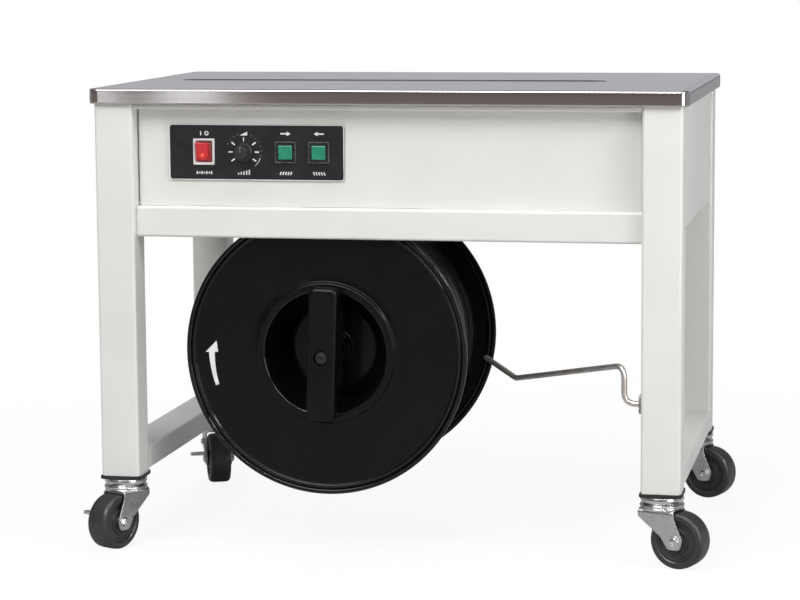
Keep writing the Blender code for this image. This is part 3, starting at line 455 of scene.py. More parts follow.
def piece(name, source, look, body="frame", covers="", bevel=0.0, segments=2, limit=32.0, matrix=None):
    """Finish a shape as one visible piece that rides on a CAD body and may stand for a CAD node."""
    mesh = mesh_of(source) if isinstance(source, bmesh.types.BMesh) else source
    mesh.name = name
    if matrix is not None:
        mesh.transform(matrix)
    mesh.transform(Matrix.Translation(SHIFT))
    mesh.materials.clear()
    mesh.materials.append(look)
    for face in mesh.polygons:
        face.material_index = 0
    mesh.shade_smooth()
    obj = placed(name, mesh)
    if bevel:
        step = obj.modifiers.new("Edges", "BEVEL")
        step.width, step.segments = bevel, segments
        step.limit_method, step.angle_limit = "ANGLE", math.radians(limit)
    else:
        mesh.set_sharp_from_angle(angle=math.radians(limit))
    obj.modifiers.new("Normals", "WEIGHTED_NORMAL").keep_sharp = True
    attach(obj, body)
    if covers:
        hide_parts(covers)
    return obj


def refined(node, look, body="frame", bevel=0.0006, extra=None):
    """A CAD node's own shape with its edges broken, and small fittings added."""
    bm = bmesh.new()
    bm.from_mesh(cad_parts[node].data)
    bmesh.ops.remove_doubles(bm, verts=bm.verts[:], dist=1e-6)
    bmesh.ops.dissolve_limit(bm, angle_limit=math.radians(1.0), verts=bm.verts[:], edges=bm.edges[:])
    bmesh.ops.translate(bm, verts=bm.verts[:], vec=-SHIFT)
    if extra:
        extra(bm)
    piece(f"{node}_fine", bm, look, body, node, bevel)


# ---------------------------------------------------------------- stand
LEG_WALL, RAIL_WALL, SHEET = 0.0025, 0.0020, 0.002
FRONT, BACK, UP = (0, -1, 0), (0, 1, 0), (0, 0, 1)


def build_stand():
    for end, side in product(("front", "back"), ("left", "right")):
        low, high = cad(f"leg_{end}_{side}")
        if (end, side) == ("front", "right"):
            low.x = -cad("leg_front_left")[1].x
        middle = ((low.x + high.x) / 2, (low.y + high.y) / 2)
        half_x, half_y = (high.x - low.x) / 2, (high.y - low.y) / 2
        tube = shape(add_prism, rectangle(half_x, half_y, 0.0050, middle), "Z", low.z, high.z,
                     rectangle(half_x - LEG_WALL, half_y - LEG_WALL, 0.0028, middle))
        piece(f"leg_tube_{end}_{side}", tube, PAINT, covers=f"leg_{end}_{side}", bevel=0.0005)

    for side in ("left", "right"):
        low, high = cad(f"rail_{side}")
        (x, _, z), (half_x, _, half_z) = middle_of(f"rail_{side}")
        tube = shape(add_prism, rectangle(half_x, half_z, 0.0045, (x, z)), "Y", low.y, high.y,
                     rectangle(half_x - RAIL_WALL, half_z - RAIL_WALL, 0.0028, (x, z)))
        piece(f"rail_tube_{side}", tube, PAINT, covers=f"rail_{side}", bevel=0.0004)


def control_hole(x, half_x, half_z):
    return shape(add_box, (x - half_x, -0.29, CONTROL_Z - half_z), (x + half_x, -0.22, CONTROL_Z + half_z))


def build_panels():
    low, high = cad("front_panel")
    face, wide, ledge_z = high.y - SHEET, high.x - 0.0022, high.z - 0.008
    panel = shape(add_prism, folded([(-wide, face + 0.017), (-wide, face + 0.001), (wide, face + 0.001),
                                     (wide, face + 0.017)], SHEET, 0.0030), "Z", low.z, ledge_z + 0.002)
    panel = combine(panel, "DIFFERENCE", *[control_hole(*spec) for spec in CONTROL_HOLES])
    piece("front_panel_sheet", panel, PAINT, covers="front_panel", bevel=0.0004)
    ledge = folded([(face + 0.0035, ledge_z + 0.001), (low.y + 0.001, ledge_z + 0.001),
                    (low.y + 0.001, high.z - 0.001), (low.y + 0.014, high.z - 0.001)], SHEET, 0.0022)
    piece("front_panel_ledge", shape(add_prism, ledge, "X", low.x, high.x), PAINT, bevel=0.0005)

    low, high = cad("front_band")
    channel = folded([(high.y, low.z + 0.001), (low.y + 0.001, low.z + 0.001),
                      (low.y + 0.001, high.z - 0.001), (high.y, high.z - 0.001)], SHEET, 0.0035)
    piece("front_band_channel", shape(add_prism, channel, "X", low.x, high.x), PAINT, covers="front_band",
          bevel=0.0006)

    for side, sign in (("left", -1), ("right", 1)):
        low, high = cad(f"side_panel_{side}")
        outer = sign * (max(abs(low.x), abs(high.x)) - 0.001)
        sheet = folded([(outer, high.z), (outer, low.z + 0.001), (outer - sign * 0.014, low.z + 0.001)], SHEET,
                       0.0030)
        piece(f"side_panel_sheet_{side}", shape(add_prism, sheet, "Y", low.y + 0.0005, high.y - 0.0005), PAINT,
              covers=f"side_panel_{side}", bevel=0.0004)
    build_back_panel()
    refined("base_deck", SHADED_DECK_PAINT, bevel=0.0004)


def build_back_panel():
    low, high = cad("back_panel")
    edge = high.x - 0.0012
    sheet = shape(add_prism, folded([(-edge, high.y - 0.016), (-edge, high.y - 0.001), (edge, high.y - 0.001),
                                     (edge, high.y - 0.016)], SHEET, 0.0030), "Z", low.z, high.z)
    x, z = INLET
    cuts = [shape(add_box, (x - 0.0145, 0.25, z - 0.0105), (x + 0.0145, 0.31, z + 0.0105))]
    louvres = [(-0.260 + 0.080 * column, 0.545 + 0.018 * row) for column in range(4) for row in range(5)]
    hood = folded([(high.y - 0.001, 0.0060), (high.y + 0.0030, 0.0006), (high.y + 0.0030, -0.0035)], 0.0012,
                  0.0025)
    cheek = [(high.y - 0.001, 0.0055), (high.y + 0.0034, 0.0), (high.y + 0.0034, -0.0035),
             (high.y - 0.001, -0.0035)]
    bm = bmesh.new()
    for x, z in louvres:
        cuts.append(shape(add_box, (x - 0.028, 0.25, z - 0.0055), (x + 0.028, 0.31, z - 0.0010)))
        for outline, start, width in ((hood, -0.029, 0.058), (cheek, -0.0290, 0.0008), (cheek, 0.0282, 0.0008)):
            add_prism(bm, [(y, h + z) for y, h in outline], "X", x + start, x + start + width)
    piece("back_panel_sheet", combine(sheet, "DIFFERENCE", *cuts), PAINT, covers="back_panel", bevel=0.0004)
    piece("back_panel_louvres", bm, PAINT, bevel=0.0003)
    piece("back_panel_screws", shape(add_bolts, (-0.365, 0.0, 0.365), [high.y], (0.512, 0.640), BACK,
                                     0.0045, 0.0028, 24), ZINC)


def build_inlet():
    x, z = INLET
    low, high = cad("power_inlet")
    outline = [(x - 0.0115, z - 0.0070), (x + 0.0115, z - 0.0070), (x + 0.0115, z + 0.0030),
               (x + 0.0075, z + 0.0070), (x - 0.0075, z + 0.0070), (x - 0.0115, z + 0.0030)]
    socket = shape(add_prism, rounded([(*point, 0.001) for point in outline]), "Y", high.y - 0.0165,
                   high.y + 0.02)
    flange = shape(add_prism, rectangle(0.0205, 0.0150, 0.0040, (x, z)), "Y", low.y + 0.0203, high.y + 0.0008)
    piece("inlet_flange", combine(flange, "DIFFERENCE", socket), BLACK_PLASTIC, covers="power_inlet",
          bevel=0.0005)
    rear = shape(add_prism, rectangle(0.0140, 0.0100, 0.0020, (x, z)), "Y", low.y, low.y + 0.0215)
    hollow = shape(add_box, (x - 0.0115, high.y - 0.0165, z - 0.0070), (x + 0.0115, high.y + 0.02, z + 0.0070))
    piece("inlet_rear", combine(rear, "DIFFERENCE", hollow), BLACK_PLASTIC, bevel=0.0003)
    bm = bmesh.new()
    for place in ((x - 0.0065, z - 0.0020), (x + 0.0065, z - 0.0020), (x, z + 0.0025)):
        add_prism(bm, rectangle(0.0009, 0.0022, 0.0006, place), "Y", high.y - 0.0160, high.y - 0.0030)
    piece("inlet_pins", bm, STEEL, bevel=0.0003)


# ---------------------------------------------------------------- table
def build_table():
    low, high = cad("table_top")
    half_w, half_d, bottom, top = high.x, high.y, low.z, high.z
    fold, corner, edge, inner = 0.020, 0.0170, 0.0034, 0.0018

    def arc(inset, height, radius, start, end, steps=4):
        angles = [math.radians(start + (end - start) * k / steps) for k in range(steps + 1)]
        return [(inset - radius * math.cos(t), height + radius * math.sin(t)) for t in angles]

    def sheet_rings(steps):
        return [ring(bm, rectangle(half_w - inset, half_d - inset, max(corner - inset, 0.0012), steps=6), "Z",
                     height) for inset, height in steps]

    def slot_rings(steps):
        left, right, half, taper = SLOT
        rings = []
        for grow, height in steps:
            wide, tall = grow * 2, half + grow
            outline = [(left - wide, 0.0, 0.002), (left + taper, -tall, 0.004), (right - taper, -tall, 0.004),
                       (right + wide, 0.0, 0.002), (right - taper, tall, 0.004), (left + taper, tall, 0.004)]
            rings.append(ring(bm, rounded(outline, 3), "Z", height))
        return rings

    bm = bmesh.new()
    outside = sheet_rings([(fold, bottom), *arc(0.0025, bottom + 0.0025, 0.0025, -90, 0),
                           *arc(edge, top - edge, edge, 0, 90)])
    inside = sheet_rings([*arc(SHEET + inner, top - SHEET - inner, inner, 90, 0),
                          *arc(SHEET + 0.001, bottom + SHEET + 0.001, 0.001, 0, -90), (fold, bottom + SHEET)])
    lip = slot_rings([(0.0034, top), (0.0026, top + 0.0005), (0.0014, top + 0.0007), (0.0004, top + 0.0004),
                      (0.0, top - 0.0004), (0.0, top - SHEET), (0.0015, top - SHEET)])
    for rings in (outside, inside, [inside[-1], outside[0]], lip):
        skin(bm, rings)
    for one, other in ((outside[-1], lip[0]), (lip[-1], inside[0])):
        edges = [bm.edges.get((loop[i - 1], loop[i])) for loop in (one, other) for i in range(len(loop))]
        bmesh.ops.triangle_fill(bm, use_beauty=True, use_dissolve=False, edges=edges)
    table = mesh_of(bm)
    # A black liner round the strap slot's walls is painted shade that makes the slot read dark.
    bm = bmesh.new()
    skin(bm, slot_rings([(0.0002, top + 0.0004), (-0.0006, top + 0.0006), (-0.0012, top + 0.0002),
                         (-0.0012, top - 0.0026), (0.0002, top - 0.0026)]), closed=True)
    piece("slot_shade_liner", bm, BLACK_PLASTIC, "lid")
    seams = [shape(add_box, (line - 0.0005, -half_d + 0.006, top - 0.0008),
                   (line + 0.0005, half_d - 0.006, top + 0.01)) for line in (0.0075 - half_w, half_w - 0.0075)]
    piece("table_sheet", combine(table, "DIFFERENCE", *seams), STAINLESS, "lid", "table_top")
    # Thin dark strips on the side skirts are painted shade: a line along each top edge and one down each corner seam.
    bm = bmesh.new()
    for sign in (-1, 1):
        near, far = sorted((sign * (half_w - 0.0006), sign * (half_w + 0.00015)))
        add_box(bm, (near, -half_d + 0.0185, top - 0.0044), (far, half_d - 0.0185, top - 0.0034))
        for y in (-half_d + 0.0180, half_d - 0.0190):
            add_box(bm, (near, y, bottom + 0.0020), (far, y + 0.0010, top - 0.0034))
    piece("table_seam_shadow_strips", bm, CAP, "lid")


def build_hinge():
    leaf_y = cad("table_hinge")[0].y
    axis_y, axis_z = HINGE
    length, pitch = 0.300, 0.025
    fixed, moving = bmesh.new(), bmesh.new()
    add_prism(fixed, folded([(leaf_y + 0.0008, axis_z - 0.0200), (leaf_y + 0.0008, axis_z - 0.0026),
                             (axis_y - 0.0008, axis_z - 0.0026)], 0.0015, 0.0016), "X", -length, length)
    for i in range(round(2 * length / pitch)):
        start = -length + i * pitch
        end = start + pitch
        knuckle = [(0.0012, start + 0.0004), (0.0034, start + 0.0004), (0.0035, start + 0.0008),
                   (0.0035, end - 0.0008), (0.0034, end - 0.0004), (0.0012, end - 0.0004)]
        add_lathe(moving if i % 2 else fixed, knuckle, (0.0, axis_y, axis_z), (1, 0, 0), 24)
        if i % 2:
            add_prism(moving, [(axis_y - 0.0030, axis_z + 0.0022), (axis_y - 0.0030, axis_z + 0.0035),
                               (axis_y, axis_z + 0.0035), (axis_y, axis_z + 0.0022)], "X", start + 0.0008,
                      end - 0.0008)
    add_lathe(fixed, pin(0.0011, -length - 0.001, length + 0.001), (0.0, axis_y, axis_z), (1, 0, 0), 16)
    add_bolts(fixed, [-0.2625 + 0.075 * i for i in range(8)], [leaf_y + 0.0015], [axis_z - 0.0120], BACK,
              0.0028, 0.0016, 20)
    piece("hinge_fixed_leaf", fixed, ZINC, covers="table_hinge", bevel=0.0002)
    piece("hinge_lid_leaf", moving, ZINC, "lid", bevel=0.0002)


# ---------------------------------------------------------------- controls
CONTROL_Z = middle_of("feed_button")[0][2]
SWITCH_X, DIAL_X, FEED_X, RESET_X = [middle_of(node)[0][0] for node in (
    "power_rocker", "feed_length_dial", "feed_button", "reset_button")]
CONTROL_HOLES = [(SWITCH_X, 0.0150, 0.0190), (DIAL_X, 0.0040, 0.0040), (FEED_X, 0.0136, 0.0136),
                 (RESET_X, 0.0136, 0.0136)]


def build_controls():
    low, high = cad("control_plate")
    front = low.y
    (x, _, z), (half_x, _, half_z) = middle_of("control_plate")
    plate = shape(add_prism, rectangle(half_x, half_z, 0.0060, (x, z)), "Y", front, high.y)
    plate = combine(plate, "DIFFERENCE", *[control_hole(*spec) for spec in CONTROL_HOLES])
    piece("control_plate_sheet", plate, FACE, covers="control_plate", bevel=0.0005)
    ink = front - 0.00015
    bm = bmesh.new()
    # The white ring just inside the plate's edge draws the edge's bright line: a painted highlight, in the print's
    # white.
    add_prism(bm, rectangle(half_x - 0.0002, half_z - 0.0002, 0.0058, (x, z)), "Y", ink, front + 0.0005,
              rectangle(half_x - 0.0014, half_z - 0.0014, 0.0047, (x, z)))

    def flat(points):
        add_prism(bm, points, "Y", ink, front + 0.0005)

    def bar(x, z, half_w, half_h, lean=0.0):
        flat([(x - half_w - lean, z - half_h), (x + half_w - lean, z - half_h),
              (x + half_w + lean, z + half_h), (x - half_w + lean, z + half_h)])

    def mark(angle, inner, outer, half_w):
        flat(spoke(DIAL_X, CONTROL_Z, math.pi / 2 - math.radians(angle), inner, outer, half_w))

    above, below = CONTROL_Z + 0.0280, CONTROL_Z - 0.0318
    bar(SWITCH_X - 0.0050, above, 0.0008, 0.0032)
    add_lathe(bm, washer(0.0019, 0.0034, 0.0, 0.0006), (SWITCH_X + 0.0042, ink, above), BACK, 32)
    for step in range(-3, 4):
        bar(SWITCH_X + step * 0.0037, below, 0.0011, 0.0013 + 0.0010 * (step % 2))
    flat([(DIAL_X - 0.0060, above - 0.0030), (DIAL_X + 0.0060, above - 0.0030), (DIAL_X + 0.0060, above + 0.0030)])
    for step in range(-2, 3):
        bar(DIAL_X + step * 0.0042, below + 0.0006 * step, 0.0010, 0.0014 + 0.0006 * (step + 2))
    for x, way in ((FEED_X, 1), (RESET_X, -1)):
        bar(x - way * 0.0030, above, 0.0048, 0.0011)
        flat([(x + way * 0.0018, above - 0.0034), (x + way * 0.0080, above), (x + way * 0.0018, above + 0.0034)])
        for step in range(-2, 3):
            bar(x + step * 0.0040, below, 0.0009, 0.0024, way * 0.0009)
    for angle in (-126, -90, -52, 52, 90, 126):
        mark(angle, 0.0172, 0.0238, 0.0011)
    mark(0, 0.0160, 0.0222, 0.0007)
    for step in range(12):
        mark(-64 + 15 * step, 0.0272, 0.0279, 0.0004)
    for step in range(10):
        mark(112 + 3 * step, 0.0268, 0.0277, 0.0009)
    piece("control_plate_print_and_edge_highlight", bm, MARK)
    build_switch(front)
    build_dial(front)
    build_button("feed", FEED_X, front)
    build_button("reset", RESET_X, front)


def spoke(x, z, turn, inner, outer, half):
    """A thin bar that points away from a centre."""
    way, side = (math.cos(turn), math.sin(turn)), (-math.sin(turn), math.cos(turn))
    return [(x + way[0] * r + side[0] * s, z + way[1] * r + side[1] * s)
            for r, s in ((inner, -half), (outer, -half), (outer, half), (inner, half))]


def frame_ring(bm, x, half_x, half_z, wall, front, back, radius):
    """A picture frame with sloping faces, from the plate to its raised inner edge."""
    steps = [(0.0, back), (0.0, front + 0.0016), (0.0008, front), (wall * 0.55, front),
             (wall, front + 0.0022), (wall, back)]
    skin(bm, [ring(bm, rectangle(half_x - inset, half_z - inset, max(radius - inset, 0.0006), (x, CONTROL_Z)),
                   "Y", y) for inset, y in steps], closed=True)


def build_switch(front):
    z = CONTROL_Z
    bm = bmesh.new()
    frame_ring(bm, SWITCH_X, 0.0168, 0.0200, 0.0044, front - 0.0034, front - 0.0002, 0.0018)
    add_prism(bm, rectangle(0.0149, 0.0188, 0.0010, (SWITCH_X, z)), "Y", front - 0.001, front + 0.012,
              rectangle(0.0123, 0.0160, 0.0006, (SWITCH_X, z)))
    piece("switch_frame", bm, WHITE_PLASTIC, covers="switch_bezel")

    def lens(proud):
        return rounded([(front - 0.0090 - proud, z + 0.0148, 0.0016), (front - 0.0052 - proud, z + 0.0010, 0.0160),
                        (front - 0.0040 - proud, z - 0.0148, 0.0016), (front + 0.0050, z - 0.0130, 0.0010),
                        (front + 0.0050, z + 0.0115, 0.0010)])

    half, round_x, round_z, bend = 0.0118, SWITCH_X - 0.0012, z - 0.0040, 0.0082
    tongue = [(SWITCH_X + half - 0.0034, z + 0.0200), (SWITCH_X - half + 0.0008, z + 0.0200)]
    tongue += [(round_x + bend * 1.12 * math.cos(t), round_z + bend * math.sin(t))
               for t in (math.pi * (1 + k / 14) for k in range(15))]
    raised = combine(shape(add_prism, lens(0.0016), "X", SWITCH_X - half + 0.0004, SWITCH_X + half - 0.0006),
                     "INTERSECT", shape(add_prism, tongue, "Y", front - 0.02, front + 0.001))
    piece("rocker_lens", shape(add_prism, lens(0.0), "X", SWITCH_X - half, SWITCH_X + half), RED_BASE,
          "power_rocker", "power_rocker", 0.0008, 3, 40.0)
    piece("rocker_tongue", raised, RED_LENS, "power_rocker", bevel=0.0005, limit=40.0)


def build_dial(front):
    tip = front - cad("feed_length_dial")[0].y
    centre = (DIAL_X, front, CONTROL_Z)
    bm = bmesh.new()
    add_lathe(bm, rounded(mm((0, 0.6, 0), (14.5, 0.6, 0.6), (14.5, 4, 1), (12.2, 6.2, 1), (11.8, 8, 0),
                             (0, 8, 0))), centre, FRONT, 64)
    grips, steps = 20, 8
    loops = []
    for depth, scale in ((0.0070, 1.05), (0.0090, 1.0), (tip - 0.0018, 0.92), (tip - 0.0005, 0.86), (tip, 0.76)):
        outline = []
        for i in range(grips * steps):
            t = 2 * math.pi * i / (grips * steps)
            flute = 0.0115 * scale - 0.00055 * max(0.0, math.cos(grips * t)) ** 2
            outline.append((DIAL_X + flute * math.sin(t), CONTROL_Z + flute * math.cos(t)))
        loops.append(ring(bm, outline, "Y", front - depth))
    skin(bm, loops, ends=True)
    add_lathe(bm, pin(0.0034, -0.0145, 0.001), centre, FRONT, 24)
    piece("dial_knob", bm, CAP, "feed_length_dial", "feed_length_dial", limit=40.0)
    pointer = rectangle(0.0006, 0.0036, 0.0003, (DIAL_X, CONTROL_Z + 0.0046))
    piece("dial_pointer", shape(add_prism, pointer, "Y", front - tip - 0.0002, front - tip + 0.001), GREY_METAL,
          "feed_length_dial")


def build_button(name, x, front):
    bm = bmesh.new()
    frame_ring(bm, x, 0.0162, 0.0162, 0.0018, front - 0.0040, front - 0.0002, 0.0016)
    piece(f"{name}_button_frame", bm, GREY_METAL, covers=f"{name}_bezel")
    bm = bmesh.new()
    for half, near, far in ((0.0146, -0.0026, -0.0002), (0.0135, -0.0004, 0.012)):
        add_prism(bm, rectangle(half, half, 0.0010, (x, CONTROL_Z)), "Y", front + near, front + far,
                  rectangle(0.0110, 0.0110, 0.0006, (x, CONTROL_Z)))
    piece(f"{name}_button_well", bm, BLACK_PLASTIC, bevel=0.0003)
    bm = bmesh.new()
    steps = mm((10.6, 12), (10.6, -4.6), (10.2, -5.4), (9, -5.8), (7, -5.6))
    skin(bm, [ring(bm, rectangle(half, half, min(0.0012, half * 0.2), (x, CONTROL_Z)), "Y", front + y)
              for half, y in steps], ends=True)
    piece(f"{name}_button_cap", bm, GREEN, f"{name}_button", f"{name}_button", limit=50.0)


# ---------------------------------------------------------------- reel
REEL_X, _, REEL_Z = middle_of("front_flange")[0]
REEL_RADIUS = middle_of("front_flange")[1][0]
REEL_CENTRE = (REEL_X, 0.0, REEL_Z)


def build_reel():
    outer, front, floor = REEL_RADIUS, -0.2497, -0.184
    flange = rounded([
        (outer - 0.0045, -0.2447, 0.0010), (outer, -0.2455, 0.0030), (outer, -0.2530, 0.0036),
        (outer - 0.0066, -0.2532, 0.0034), (outer - 0.0080, -0.2490, 0.0012), (outer - 0.0098, -0.2523, 0.0022),
        (outer - 0.0140, -0.2523, 0.0024), (outer - 0.0152, front, 0.0016), (0.1170, front, 0.0080),
        (0.1090, -0.2508, 0.0030), (0.1070, -0.2550, 0.0060), (0.0955, -0.2550, 0.0070), (0.0925, -0.2500, 0.0050),
        (0.0690, floor - 0.002, 0.0060), (0.0640, floor, 0.0040), (0.0272, floor, 0.0020), (0.0250, -0.1870, 0.0010),
        (0.0250, -0.1920, 0.0012), (0.0184, -0.1920, 0.0006), (0.0178, -0.2040, 0.0010), (0.0112, -0.2040, 0.0004),
        (0.0108, -0.1810, 0.0), (0.0660, -0.1810, 0.0020), (0.0700, -0.1840, 0.0020), (0.0930, -0.2467, 0.0),
        (outer - 0.0110, -0.2467, 0.0), (outer - 0.0080, -0.2447, 0.0006)], 4)
    disc = piece("reel_front_flange", shape(add_lathe, flange, REEL_CENTRE, BACK, 160), REEL, "reel",
                 "front_flange", limit=50.0).data
    disc.materials.append(REEL_LIP)
    middle = Vector(REEL_CENTRE) + SHIFT
    for face in disc.polygons:
        radius = math.hypot(face.center.x - middle.x, face.center.z - middle.z)
        if radius > outer - 0.0155 or 0.0915 < radius < 0.0975:
            face.material_index = 1

    back = 0.0160
    drum = rounded([
        (0.0105, -0.1760, 0.0), (0.0220, -0.1760, 0.0010), (0.0220, back - 0.004, 0.0010),
        (0.0955, back - 0.004, 0.0), (0.0955, -0.2455, 0.0006), (0.0985, -0.2455, 0.0006),
        (0.0985, back - 0.0045, 0.0010), (outer - 0.0140, back - 0.0040, 0.0010),
        (outer - 0.0110, back - 0.0062, 0.0016), (outer - 0.0080, back - 0.0050, 0.0008),
        (outer - 0.0055, back - 0.0068, 0.0024), (outer, back - 0.0066, 0.0030), (outer, back + 0.0008, 0.0030),
        (outer - 0.0060, back + 0.0008, 0.0016), (outer - 0.0080, back - 0.0010, 0.0010),
        (0.0105, back - 0.0010, 0.0)], 4)
    piece("reel_drum_shell", shape(add_lathe, drum, REEL_CENTRE, BACK, 160), REEL, "reel", "reel_drum", limit=50.0)
    bm = bmesh.new()
    ribs = 12
    for i in range(ribs):
        add_prism(bm, spoke(REEL_X, REEL_Z, 2 * math.pi * i / ribs, 0.050, outer - 0.009, 0.0016), "Y",
                  back - 0.0015, back + 0.0022)
    for radius in (0.048, 0.1000):
        add_lathe(bm, rounded([(radius - 0.0030, back - 0.0015, 0.0), (radius + 0.0030, back - 0.0015, 0.0),
                               (radius + 0.0020, back + 0.0030, 0.0010), (radius - 0.0020, back + 0.0030, 0.0010)]),
                  REEL_CENTRE, BACK, 96)
    piece("reel_drum_ribs", bm, REEL, "reel", bevel=0.0004)

    low, high = cad("strap_coil")
    bands, core = 21, 0.0988
    pitch = (high.y - low.y) / bands
    profile = [(core, low.y)]
    for i in range(bands):
        start, radius = low.y + i * pitch, 0.1857 - random.random() * 0.0011
        profile += [(radius - 0.0009, start + 0.0001), (radius, start + 0.0008), (radius, start + pitch - 0.0008),
                    (radius - 0.0009, start + pitch - 0.0001)]
    profile.append((core, high.y))
    piece("strap_winding", shape(add_lathe, profile, REEL_CENTRE, BACK, 128), STRAP, "reel", "strap_coil",
          limit=25.0)
    build_arrow(front)
    build_lock_bar()
    refined("reel_bracket", STEEL, bevel=0.0, extra=lambda bm: add_bolts(
        bm, (REEL_X - 0.028, REEL_X + 0.028), (0.052, 0.085), [0.5300], (0, 0, -1), 0.0055, 0.0042))


def build_arrow(front):
    """A raised white arrow that shows which way the reel turns."""
    radius, half, start, neck, tip = 0.1795, 0.0046, 197.4, 180.9, 175.1
    outline = []
    for edge, first, last in ((1, start, neck), (-1, neck, start)):
        for k in range(13):
            t = first + (last - first) * k / 12
            outline.append((t, radius + edge * half * (0.60 + 0.40 * (start - t) / (start - neck))))
        if edge == 1:
            outline += [(neck, radius + 0.0100), (tip, radius - 0.0070), (neck, radius - 0.0100)]
    points = [(REEL_X + r * math.cos(math.radians(t)), REEL_Z + r * math.sin(math.radians(t))) for t, r in outline]
    piece("reel_arrow", shape(add_prism, points, "Y", front - 0.0005, front + 0.0008), MARK, "reel", bevel=0.0002)


def build_lock_bar():
    lean = Matrix.Translation(REEL_CENTRE) @ Matrix.Rotation(math.radians(2.0), 4, "Y")
    back, front, half_w, half_l, screw_z = -0.2542, -0.2812, 0.0225, 0.103, -0.004
    bm = bmesh.new()
    steps = [(0.0012, back), (0.0, back - 0.0012), (0.0, front + 0.0060), (0.0010, front + 0.0028),
             (0.0036, front + 0.0006), (0.0064, front)]
    skin(bm, [ring(bm, rectangle(half_w - inset, half_l - inset, 0.0115 - inset * 0.7, steps=6), "Y", y)
              for inset, y in steps], ends=True)
    well = shape(add_lathe, rounded(mm((0, -1, 0), (12, -1, 0), (10.4, 3.5, 1), (0, 3.5, 0))),
                 (0.0, front, screw_z), BACK, 40)
    piece("lock_bar_plate", combine(mesh_of(bm), "DIFFERENCE", well), REEL, "lock_bar", "lock_bar", limit=40.0,
          matrix=lean)
    bm = bmesh.new()
    add_prism(bm, rounded([(back - 0.002, 0.0880, 0.0), (-0.212, 0.0725, 0.006), (-0.212, -0.0725, 0.006),
                           (back - 0.002, -0.0880, 0.0)]), "X", -0.020, 0.020)
    add_lathe(bm, pin(0.0100, -0.1782, -0.213), facing=BACK, segments=32)
    piece("lock_bar_web", bm, REEL, "lock_bar", bevel=0.0012, segments=3, matrix=lean)
    face = front + 0.0030
    screw = shape(add_lathe, rounded(mm((0, 0, 0), (9, 0, 0), (9, 1.2, 0.5), (7.1, 1.4, 0), (6.8, 3.6, 1.6),
                                        (0, 4.2, 0))), (0.0, face, screw_z), FRONT, 40)
    cross = [shape(add_box, (-a, face - 0.010, screw_z - b), (a, face - 0.0026, screw_z + b))
             for a, b in ((0.0042, 0.0009), (0.0009, 0.0042))]
    piece("lock_bar_screw", combine(screw, "DIFFERENCE", *cross), BLACK_PLASTIC, "lock_bar", matrix=lean,
          limit=40.0)


def build_brake_arm():
    low, high = cad("brake_arm")
    y, z, upright = -0.270, 0.246, 0.361
    route = bent_line([(low.x + 0.0005, -0.030, 0.272), (0.1674, -0.075, 0.2473), (upright, y, 0.3035),
                       (upright, y, z), (high.x, y, z)], 0.018, 10)
    piece("brake_arm_wire", tube_mesh(route, 0.0044, "wire"), WIRE, "brake_arm", "brake_arm", limit=60.0)
    leg = -cad("leg_front_left")[1].x
    face = leg - 0.0030
    bm = bmesh.new()
    add_prism(bm, rectangle(0.0105, 0.0130, 0.0015, (y - 0.0015, z)), "X", face, leg + 0.0002)
    add_lathe(bm, mm((4.9, 0), (7.2, 0), (6.8, 1.2), (4.9, 1.2)), (face, y, z), (-1, 0, 0), 32)
    add_bolts(bm, [face], [y - 0.0015], (z - 0.0098, z + 0.0098), (-1, 0, 0), 0.0020, 0.0014, 20)
    piece("brake_arm_plate", bm, STEEL, bevel=0.0003)


# ---------------------------------------------------------------- casters
CASTERS = {"front_left": (-1, -114.2), "front_right": (1, -19.2), "back_left": (-1, -68.0),
           "back_right": (1, -19.2)}
TRAIL, WHEEL_RADIUS, WHEEL_HALF = 0.030, 0.0425, 0.0176


def caster_cap(bm):
    """A thin cap under the leg with its corners turned up round the tube."""
    half_x, half_y, low, high = 0.0322, 0.0287, 0.1078, 0.1106
    loops = []
    for inset, base, rise in ((0.004, low - 0.0006, 0.0), (0.0006, low, 0.0), (0.0, low + 0.0010, 0.0),
                              (0.0, high, 0.0038), (0.0013, high + 0.0002, 0.0038), (0.0015, high, 0.0),
                              (0.004, high, 0.0)):
        loop = []
        for a, b in rectangle(half_x, half_y, 0.0050, steps=8):
            corner = max(0.0, min(abs(a) / half_x, abs(b) / half_y) * 2.4 - 1.4)
            loop.append(bm.verts.new((a * (1 - inset / half_x), b * (1 - inset / half_y), base + rise * corner)))
        loops.append(loop)
    skin(bm, loops, ends=True)


def caster_bearing(bm):
    """The fixed upper ring and the rivet that holds the fork."""
    add_lathe(bm, rounded(mm((5.8, 107.2, 0), (32.2, 107.2, 0.8), (33, 103, 3), (30.6, 98, 2), (5.8, 97.6, 0))),
              segments=56)
    add_lathe(bm, rounded(mm((0, 99, 0), (5.8, 99, 0), (5.8, 86.6, 0), (9.8, 86.4, 0.6), (8.6, 84.6, 1.6),
                             (0, 84.2, 0))), segments=40)


def caster_ring(bm):
    """The fork's own bearing ring, turned from sheet, with a bead round its edge."""
    add_lathe(bm, rounded(mm((6.4, 97.2, 0), (29.6, 97.2, 0.8), (30.6, 95.8, 0.6), (33.4, 95.2, 1.4),
                             (33.4, 92.6, 0.8), (31.8, 91.8, 0.4), (32.6, 90.6, 1), (31.8, 87.4, 1.4),
                             (6.4, 87.2, 0))), segments=56)


def caster_fork():
    """A pressed fork: an upside-down U of sheet cut to the outline of its cheeks."""
    outer, sheet = 0.0222, 0.0026
    middle = outer - sheet / 2
    bend = folded([(-middle, 0.020), (-middle, 0.0880), (middle, 0.0880), (middle, 0.020)], sheet, 0.0060)
    cheek = rounded(mm((-30, 99, 0), (-30, 77, 6), (8, 48, 20), (19, 30, 7), (39.5, 30, 12), (42.5, 46, 11),
                       (29, 76, 14), (26, 99, 0)))
    channel = combine(shape(add_prism, bend, "X", -0.040, 0.060), "INTERSECT",
                      shape(add_prism, cheek, "Y", -0.03, 0.03))
    return combine(channel, "DIFFERENCE", shape(add_lathe, pin(0.0066, 0.08, 0.11), segments=32))


